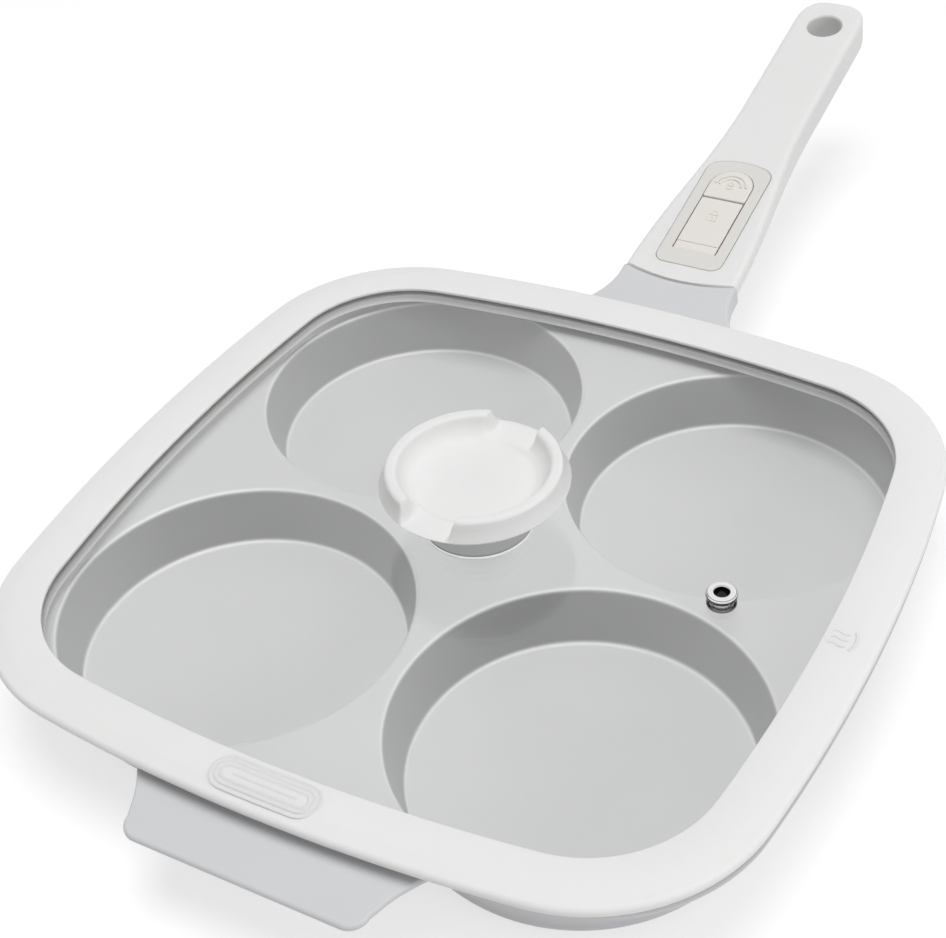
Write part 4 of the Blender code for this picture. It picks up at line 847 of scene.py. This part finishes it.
def build_vent():
    seat = GLASS_TOP_Z + FIT
    crown = seat + VENT_HEIGHT
    hole = VENT_HOLE_RADIUS
    tail = GLASS_UNDER_Z - FIT - VENT_TAIL
    section = [(hole, tail), (hole, crown - 0.8)]
    section += arc((hole + 0.7, crown - 0.7), 0.7, 180, 90, 8)
    section += arc((VENT_RADIUS - 1.2, crown - 1.2), 1.2, 90, -10, 9)
    section += [(VENT_RADIUS - 0.5, seat + 0.75), (VENT_RADIUS, seat + 0.5), (VENT_RADIUS - 0.1, seat)]
    section += [(VENT_BARREL_RADIUS, seat), (VENT_BARREL_RADIUS, tail)]
    vent = solid("steam_vent", [turned(section, TURN_STEPS)], AT_VENT, closed=True)
    dress(vent, CHROME, "chrome", "lid", "vent_grommet")
    high = GLASS_UNDER_Z - FIT
    bore = VENT_BARREL_RADIUS + FIT
    ring = [(bore, high - 0.7), (VENT_COLLAR - 0.2, high - 0.7), (VENT_COLLAR, high - 0.5)]
    ring += [(VENT_COLLAR, high), (bore, high)]
    collar = solid("vent_collar", [turned(ring, TURN_STEPS)], AT_VENT, closed=True)
    dress(collar, SHADE_PAINTED_CHROME, "chrome", "lid", "vent_ferrule")


def build_lid():
    rim = solid("lid_rim", [rim_rings()], LID, closed=True)
    dress(rim, SILICONE, "white_silicone", "lid", "silicone_rim")
    build_rim_marks()
    build_knob()
    build_vent()


# Handle
def ease(y, start, end):
    return 0.5 - 0.5 * math.cos(math.pi * share_of(y, start, end))


def tapered(front, tail, y):
    """A size of the handle at y that eases from its front value to its tail value."""
    return front + (tail - front) * ease(y, 0, HANDLE_TAPER_LENGTH)


def handle_half(y):
    return tapered(HANDLE_FRONT_HALF, HANDLE_TAIL_HALF, y)


def handle_depth(y):
    return HANDLE_DEPTH + (HANDLE_TAIL_DEPTH - HANDLE_DEPTH) * ease(y, PANEL_END, HOLE_Y)


def handle_loop(level, start, end, wall):
    """Plan ring of the handle at one level, with its own depth at each place along it."""
    kind, angle = level

    def inset_and_height(y):
        if kind == "edge":
            return HANDLE_EDGE * (1 - math.sin(angle)), -wall - HANDLE_EDGE * (1 - math.cos(angle))
        side = tapered(SIDE_FRONT, SIDE_TAIL, y) + wall
        deep = handle_depth(y) - wall
        reach = tapered(BELLY_FRONT, BELLY_TAIL, y)
        return reach * (1 - math.cos(angle)), -side - (deep - side) * math.sin(angle)

    inset, z = inset_and_height(start)
    front = start + min(inset, HANDLE_FRONT_INSET)
    front_width = handle_half(start) - inset - wall
    half = [(front_width * share, front + SEAM_BOW * share ** 2, z) for share in SEAM_SHARES]
    corner = front + SEAM_BOW
    for i in range(1, STATIONS + 1):
        y = corner + (end - corner) * i / STATIONS
        inset, z = inset_and_height(y)
        half.append((handle_half(y) - inset - wall, y, z))
    inset, z = inset_and_height(end)
    side = handle_half(end) - wall - inset
    for x, y in full_corner(side, side + TAIL_REACH, TAIL_SQUARENESS, TAIL_POINTS):
        half.append((x, end + y, z))
    return mirrored(half)


def handle_form(start, end, wall):
    levels = [("edge", math.radians(18 * i)) for i in range(6)]
    levels += [("belly", math.radians(9 * i)) for i in range(11)]
    return [handle_loop(level, start, end, wall) for level in levels]


def cover_plan(inset):
    """A prism whose plan follows the underside opening of the handle."""
    half = [(0.0, COVER_START + inset)]
    length = COVER_END - COVER_START - 2 * inset
    for i in range(STATIONS + 1):
        y = COVER_START + inset + length * i / STATIONS
        half.append((handle_half(y) - COVER_INSET - inset, y))
    half.append((0.0, COVER_END - inset))
    bottom = -HANDLE_TAIL_DEPTH - CUT_RUN
    return [at_height(mirrored(half), -COVER_TOP_DEPTH), at_height(mirrored(half), bottom)]


def panel_outline(grow):
    """Outline of the panel, from the pan end round to the arched tail end."""
    start, end = PANEL_START - grow, PANEL_END + grow
    side = PANEL_HALF + grow
    corner, tail = PANEL_CORNER + grow, PANEL_TAIL_CORNER + grow
    half = [(0.0, start)]
    half += arc((side - corner, start + corner), corner, -90, 0, 10)
    shoulder = arc((side - tail, end - PANEL_TAIL_ARCH - tail), tail, 0, 70, 10)
    last = shoulder[-1]
    for share in SEAM_SHARES[1:-1]:
        shoulder.append((last[0] * (1 - share), end - (end - last[1]) * (1 - share) ** 2))
    return mirrored(half + shoulder + [(0.0, end)])


def window_outline(grow=0.0):
    """Opening in the panel for the lever and the button behind it."""
    start = LEVER_PIVOT_Y - grow
    side = LEVER_HALF + LEVER_SLIT + grow
    half = [(0.0, start), (side, start), (side, LEVER_END)]
    return mirrored(half + arc((0, BUTTON_CENTRE_Y), side, 0, 90, 20))


def build_shell():
    shell = solid("handle_body", [handle_form(0, HOLE_Y, 0)], HANDLE)
    seat = panel_outline(PANEL_GAP)
    seat_rings = [at_height(panel_outline(PANEL_GAP + 1.2), 1.0), at_height(seat, -0.2),
                  at_height(seat, -PANEL_THICKNESS - FIT)]
    hole = [(HOLE_RADIUS + 1.6, CUT_RUN), (HOLE_RADIUS + 0.35, -0.35), (HOLE_RADIUS, -HOLE_CHAMFER)]
    hole.append((HOLE_RADIUS, -HANDLE_TAIL_DEPTH - CUT_RUN))
    mouth = box((-MOUTH_HALF, -CUT_RUN, -MOUTH_BOTTOM), (MOUTH_HALF, MOUTH_END, -MOUTH_TOP))
    carve(
        shell,
        (CUT, solid("mouth", [mouth], HANDLE)),
        (CUT, solid("cavity", [handle_form(CAVITY_START, CAVITY_END, HANDLE_WALL)], HANDLE)),
        (CUT, solid("opening", [cover_plan(0)], HANDLE)),
        (CUT, solid("seat", [seat_rings], HANDLE)),
        (CUT, solid("hang_hole", [turned(hole, TURN_STEPS, (0, HOLE_Y))], HANDLE)),
    )
    bosses = []
    for y in COVER_SCREWS:
        foot = handle_depth(y) - HANDLE_WALL - FIT
        rings = [(COVER_BOSS_RADIUS, -HANDLE_WALL + 0.5), (COVER_BOSS_RADIUS, -foot)]
        bosses.append(turned(rings, SMALL_STEPS, (0, y)))
    bore = COVER_SCREW_RADIUS + FIT
    pilot = [(bore, -HANDLE_WALL - 2), (bore, -HANDLE_TAIL_DEPTH)]
    pilots = [turned(pilot, SMALL_STEPS, (0, y)) for y in COVER_SCREWS]
    carve(
        shell,
        (JOIN, solid("bosses", bosses, HANDLE)),
        (CUT, solid("pilots", pilots, HANDLE)),
    )
    dress(shell, PLASTIC, "white_plastic", "handle", "handle_shell")


def build_cover():
    cover = solid("handle_cover", [handle_form(0, HOLE_Y, 0)], HANDLE)
    holes = []
    bore, wide = COVER_SCREW_RADIUS + FIT, COVER_SCREW_HEAD_RADIUS + FIT
    for number, y in enumerate(COVER_SCREWS, 1):
        depth = handle_depth(y)
        seat = -depth + COVER_SCREW_SEAT
        profile = [(bore, -depth + HANDLE_WALL + CUT_RUN), (bore, seat)]
        profile += [(wide, seat), (wide, -depth - CUT_RUN)]
        holes.append(turned(profile, SMALL_STEPS, (0, y)))
        head = COVER_SCREW_HEAD_RADIUS
        screw = [(COVER_SCREW_RADIUS, -HANDLE_WALL - 3), (COVER_SCREW_RADIUS, seat - FIT)]
        screw += [(head, seat - FIT), (head, -depth + 0.3), (head - 0.2, -depth + COVER_SCREW_SINK)]
        bolt = solid(f"cover_bolt_{number}", [turned(screw, SMALL_STEPS, (0, y))], HANDLE)
        cut_cross(bolt, HANDLE, y, 1.5, 0.3, -depth - CUT_RUN, -depth + 0.45)
        dress(bolt, STEEL, "steel", "handle", f"cover_screw_{number}")
    carve(
        cover,
        (KEEP, solid("plan", [cover_plan(FIT)], HANDLE)),
        (CUT, solid("hollow", [handle_form(CAVITY_START, CAVITY_END, HANDLE_WALL)], HANDLE)),
        (CUT, solid("holes", holes, HANDLE)),
    )
    dress(cover, PLASTIC, "white_plastic", "handle", "bottom_cover")


def bar_rings(radius, reach, place_y=0.0, place_z=0.0):
    """A round bar along X."""
    loop = circle(radius, SMALL_STEPS)
    return [[(x, place_y + y, place_z + z) for y, z in loop] for x in (-reach, reach)]


def build_panel():
    rings = [at_height(panel_outline(-0.25), 0), at_height(panel_outline(-0.07), -0.07)]
    rings += [at_height(panel_outline(0), -0.25), at_height(panel_outline(0), -PANEL_THICKNESS)]
    panel = solid("control_panel", [rings], HANDLE)
    cut = [at_height(window_outline(1.2), 1.0), at_height(window_outline(), -0.2)]
    cut.append(at_height(window_outline(), -PANEL_THICKNESS - CUT_RUN))
    carve(
        panel,
        (CUT, solid("window", [cut], HANDLE)),
        (CUT, solid("lever_end", [bar_rings(LEVER_END_ROOM, LEVER_HALF + LEVER_SLIT)], LEVER)),
        (CUT, solid("pin_hole", [bar_rings(PIN_RADIUS + 0.25, PIN_REACH + FIT)], LEVER)),
    )
    dress(panel, PANEL, "cream_plastic", "handle", "button_panel")
    pin = solid("hinge_pin", [bar_rings(PIN_RADIUS, PIN_REACH)], LEVER)
    dress(pin, STEEL, "steel", "handle", "lever_pin")


def lever_chain(drop):
    """Closed (y, z) side view of the lever about its pivot, let down by drop for the bevelled sides."""
    top = LEVER_PIVOT_DEPTH
    tail = LEVER_END - LEVER_PIVOT_Y
    face = top + LEVER_FACE
    line = arc((0, 0), LEVER_PIVOT_DEPTH, 270, 90, 16)
    line += [(1.6, top), (2.6, top + 0.06), (2.75, top - 0.1), (3.0, top - 0.1), (3.15, top + 0.3)]
    line += [(3.6, top + 0.38), (4.6, face)]
    line += [(tail - LEVER_END_BEVEL, face), (tail - 0.15, face - 0.15), (tail, face - LEVER_END_BEVEL)]
    line.append((tail, top - LEVER_THICKNESS))
    return [(y, z - drop if z > 0.5 else z) for y, z in line]


def build_lever():
    half = LEVER_HALF
    rings = []
    for x, drop in ((-half, 0.35), (-half + 0.1, 0.1), (-half + 0.35, 0.0),
                    (half - 0.35, 0.0), (half - 0.1, 0.1), (half, 0.35)):
        rings.append([(x, y, z) for y, z in lever_chain(drop)])
    body = solid("lock_lever_cap", [rings], LEVER)
    carve(
        body,
        (JOIN, solid("cam", [bar_rings(CAM_RADIUS, CAM_HALF, CAM_Y, CAM_Z)], LEVER)),
        (CUT, solid("bore", [bar_rings(PIN_RADIUS + 0.15, half + CUT_RUN)], LEVER)),
    )
    dress(body, CREAM, "cream_plastic", "lever", "lock_lever")


def button_loop(inset, z):
    side = BUTTON_HALF - inset
    start = LEVER_END + BUTTON_GAP + inset - BUTTON_CENTRE_Y
    half = [(0.0, start), (side - 0.6, start), (side, start + 0.6), (side, 0.0)]
    return at_height(mirrored(half + arc((0, 0), side, 0, 90, 20)[1:]), z)


def build_button():
    top = BUTTON_HEIGHT
    rings = [button_loop(BUTTON_EDGE - y, top - BUTTON_EDGE + x)
             for x, y in arc((0, 0), BUTTON_EDGE, 0, 90, 5)]
    rings.append(button_loop(0, top - BUTTON_THICKNESS))
    cap = solid("release_button_cap", [rings], BUTTON)
    low = top - BUTTON_THICKNESS
    stem = [(BUTTON_STEM_RADIUS, low + CUT_RUN), (BUTTON_STEM_RADIUS, low - BUTTON_STEM_LENGTH)]
    carve(cap, (JOIN, solid("stem", [turned(stem, SMALL_STEPS)], BUTTON)))
    dress(cap, CREAM, "cream_plastic", "button", "release_button")


# Raised marks
def ridge_rings(path, line, closed=False):
    """A low rounded ridge along (x, y, z) points of a surface, with its foot sunk into that surface."""
    width, height = line
    half = width / 2
    section = [(-half, -LINE_SINK), (-half, 0.0), (-half * 0.6, height * 0.8), (0.0, height)]
    section += [(half * 0.6, height * 0.8), (half, 0.0), (half, -LINE_SINK)]
    rings = []
    count = len(path)
    for i, point in enumerate(path):
        before = path[i - 1] if closed or i else point
        after = path[(i + 1) % count] if closed or i + 1 < count else point
        along = Vector((after[0] - before[0], after[1] - before[1])).normalized()
        rings.append([(point[0] + along.y * u, point[1] - along.x * u, point[2] + v) for u, v in section])
    return rings


def add_mark(name, path, line, place, look, slot, body, closed=False):
    dress(solid(name, [ridge_rings(path, line, closed)], place, closed), look, slot, body)


def stadium(half_length, radius):
    right = arc((half_length, 0), radius, -90, 90, 12)
    left = arc((-half_length, 0), radius, 90, 270, 12)
    flats = [half_length * (1 - i / 6) for i in range(1, 12)]
    return right + [(x, radius) for x in flats] + left + [(-x, -radius) for x in flats]


def padlock(shackle_turn):
    """Outline ridges of a small padlock about the origin, with the shackle swung open by shackle_turn."""
    body = [(-1.9, -2.4), (0.0, -2.4), (1.9, -2.4), (1.9, -0.9)]
    body += [(1.9, 0.6), (0.0, 0.6), (-1.9, 0.6), (-1.9, -0.9)]
    bow = [(-1.2, 0.6)] + arc((0, 1.5), 1.2, 180, 0, 10) + [(1.2, 0.6)]
    if shackle_turn:
        hinge = Vector((-1.2, 0.6))
        swing = Matrix.Rotation(math.radians(shackle_turn), 2)
        bow = [tuple(hinge + swing @ (Vector(point) - hinge)) for point in bow]
    keyhole = circle(0.35, 12, (0, -0.8))
    return body, bow, keyhole


def build_lock_mark(name, place, scale, shackle_turn, top, body):
    parts = [[(x * scale, y * scale, top) for x, y in part] for part in padlock(shackle_turn)]
    base, bow, keyhole = parts
    look = (place, CREAM, "cream_plastic", body)
    add_mark(f"{name}_body", base, LOCK_LINE, *look, closed=True)
    add_mark(f"{name}_keyhole", keyhole, KEYHOLE_LINE, *look, closed=True)
    add_mark(f"{name}_shackle", bow, LOCK_LINE, *look)


def build_handle_marks():
    face = LEVER_PIVOT_DEPTH + LEVER_FACE
    build_lock_mark("closed_lock", LEVER @ shift(0, LOCK_MARK_Y - LEVER_PIVOT_Y, 0), 1.0, 0, face, "lever")
    arcs_place = BUTTON @ shift(0, BUTTON_ARCS_Y - BUTTON_CENTRE_Y, 0)
    build_lock_mark("open_lock", arcs_place @ shift(0.3, 0.4, 0), 0.62, 32, BUTTON_HEIGHT, "button")
    for number, radius in enumerate(BUTTON_ARC_RADII, 1):
        path = at_height(arc((0, 0), radius, 6, 174, 28), BUTTON_HEIGHT)
        add_mark(f"press_rib_{number}", path, BUTTON_ARC_LINE, arcs_place, CREAM, "cream_plastic", "button")


def on_rim(offset):
    """Where a mark starts on the rim's crowned top face, at an offset from its inner edge."""
    share = share_of(offset, RIM_CROWN_START, RIM_CROWN_END)
    return RIM_TOP_Z + RIM_CROWN - RIM_CROWN_FALL * (2 * share - 1) ** 2 - RIM_LINE_SINK


def grip_point(x, y):
    """A point of the grip patch, which follows the bow of the rim's front side."""
    bow = (GRIP_X + x) ** 2 / (2 * OPENING_SIDE_RADIUS)
    return GRIP_X + x, -(LID_HALF_Y + GRIP_OFFSET - bow) + y, on_rim(GRIP_OFFSET - y)


def build_rim_marks():
    look = (LID, SILICONE, "white_silicone", "lid")
    for number, radius in enumerate(GRIP_RADII, 1):
        path = [grip_point(x, y) for x, y in stadium(GRIP_HALF - GRIP_RADII[0], radius)]
        add_mark(f"grip_rib_{number}", path, GRIP_LINE, *look, closed=True)
    add_mark("grip_rib_core", [grip_point(x, 0) for x in range(-10, 11, 2)], GRIP_LINE, *look)
    for number in range(3):
        path = []
        for share in [i / 16 for i in range(17)]:
            x = STEAM_OFFSET + STEAM_LENGTH * (share - 0.5)
            y = STEAM_PITCH * (number - 1) + STEAM_SWING * math.sin(math.tau * share)
            path.append((OPENING_HALF_X + x, STEAM_Y + y, on_rim(x)))
        add_mark(f"steam_wave_{number + 1}", path, STEAM_LINE, *look)
    bar = arc((STEAM_BAR_OFFSET - STEAM_BAR_RADIUS, 0), STEAM_BAR_RADIUS, -32, 32, 16)
    path = [(OPENING_HALF_X + x, STEAM_Y + y, on_rim(x)) for x, y in bar]
    add_mark("steam_bar", path, STEAM_BAR_LINE, *look)


def build_handle():
    build_shell()
    build_cover()
    build_panel()
    build_lever()
    build_button()
    build_handle_marks()


def build_carried_over():
    """Better materials for the CAD nodes that stay."""
    looks = {
        "glass_lid": GLASS, "tongue": STEEL, "tongue_rivet_1": STEEL, "tongue_rivet_2": STEEL,
        "clamp_shoe": STEEL, "clamp_spring": STEEL, "button_spring": STEEL, "knob_insert": BRASS,
        "inner_frame": INNER,
    }
    for name, look in looks.items():
        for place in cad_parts[name].material_slots:
            place.material = look


# Stage
AZIMUTH = math.radians(32.048)
ELEVATION = math.radians(39.606)
ROLL = math.radians(-5.649)
LENS = 66.756
TARGET = PAN @ (Vector((-15.84, 18.21, 35.0)) * MM)
DISTANCE = 0.5479
WORLD_LIGHT = 0.28
FLOOR_REACH = 6000.0
FLOOR_DEPTH = 20.0
FLOOR_GLOW = 0.66               # share of white that the floor shows near the object
GLOW_NEAR = 0.5                 # distances in metres between which the floor turns white
GLOW_FAR = 1.8


def build_camera():
    lens = bpy.data.cameras.new("camera")
    lens.lens = LENS
    lens.sensor_width = 36.0
    lens.clip_start = 0.02
    camera = bpy.data.objects.new("camera", lens)
    turn = Matrix.Rotation(AZIMUTH, 4, "Z") @ Matrix.Rotation(math.pi / 2 - ELEVATION, 4, "X")
    turn = turn @ Matrix.Rotation(ROLL, 4, "Z")
    camera.matrix_world = Matrix.Translation(TARGET) @ turn @ Matrix.Translation((0, 0, DISTANCE))
    bpy.context.collection.objects.link(camera)
    bpy.context.scene.camera = camera


def seen_directly(tree):
    """1 for rays from the camera, off gloss or through glass, and 0 for the rays that light things."""
    path = tree.nodes.new("ShaderNodeLightPath").outputs
    shown = maths(tree, "MAXIMUM", path["Is Camera Ray"], path["Is Glossy Ray"])
    return maths(tree, "MAXIMUM", shown, path["Is Transmission Ray"])


def build_world():
    world = bpy.data.worlds.new("studio")
    bpy.context.scene.world = world
    world.use_nodes = True
    tree = world.node_tree
    lit = tree.nodes["Background"]
    lit.inputs["Color"].default_value = (1, 1, 1, 1)
    lit.inputs["Strength"].default_value = WORLD_LIGHT
    shown = add_node(tree, "ShaderNodeBackground", Color=(1, 1, 1, 1), Strength=1.0)
    mix_shaders(tree, seen_directly(tree), lit, shown, "World Output")


def build_floor():
    disc = circle(FLOOR_REACH, FLOOR_STEPS)
    floor = solid("floor", [[at_height(disc, 0.0), at_height(disc, -FLOOR_DEPTH)]], Matrix.Identity(4))
    made = bpy.data.materials.new("pale_floor")
    made.use_nodes = True
    tree = made.node_tree
    shown = seen_directly(tree)
    shader = tree.nodes["Principled BSDF"]
    shader.inputs["Roughness"].default_value = 0.9
    shader.inputs["Specular IOR Level"].default_value = 0.0
    tone = mix_colours(tree, shown, (0.80, 0.80, 0.80, 1), (0.42, 0.42, 0.42, 1))
    tree.links.new(tone, shader.inputs["Base Color"])
    away = vector_maths(tree, "LENGTH", object_place(tree), result="Value")
    fade = add_node(tree, "ShaderNodeMapRange", Value=away, From_Min=GLOW_NEAR, From_Max=GLOW_FAR,
                    To_Min=FLOOR_GLOW, To_Max=1.0)
    strength = maths(tree, "MULTIPLY", shown, fade.outputs["Result"])
    glow = add_node(tree, "ShaderNodeEmission", Color=(1, 1, 1, 1), Strength=strength)
    both = tree.nodes.new("ShaderNodeAddShader")
    tree.links.new(shader.outputs[0], both.inputs[0])
    tree.links.new(glow.outputs[0], both.inputs[1])
    tree.links.new(both.outputs[0], tree.nodes["Material Output"].inputs["Surface"])
    floor.data.materials.append(made)


def lamp(name, place, aim, size, power):
    light = bpy.data.lights.new(name, "AREA")
    light.shape = "DISK"
    light.size = size
    light.energy = power
    obj = bpy.data.objects.new(name, light)
    obj.location = place
    obj.rotation_euler = (Vector(aim) - Vector(place)).to_track_quat("-Z", "Y").to_euler()
    obj.visible_glossy = False
    bpy.context.collection.objects.link(obj)


def soften_shadows(*names):
    """Pieces above the glass that hardly shade the pan in soft light."""
    for name in names:
        bpy.data.objects[name].visible_shadow = False


build_pan()
build_lid()
soften_shadows("knob_dish_top", "knob_foot", "knob_seal", "under_washer", "steam_vent", "vent_collar")
build_handle()
build_carried_over()
build_camera()
build_world()
build_floor()
lamp("overhead", (0.0, -0.12, 1.5), (0, -0.05, 0), 1.0, 14.6)
lamp("side_fill", (1.35, -0.30, 0.45), (0, 0, 0), 0.9, 5.6)

scene = bpy.context.scene
scene.view_settings.view_transform = "Standard"
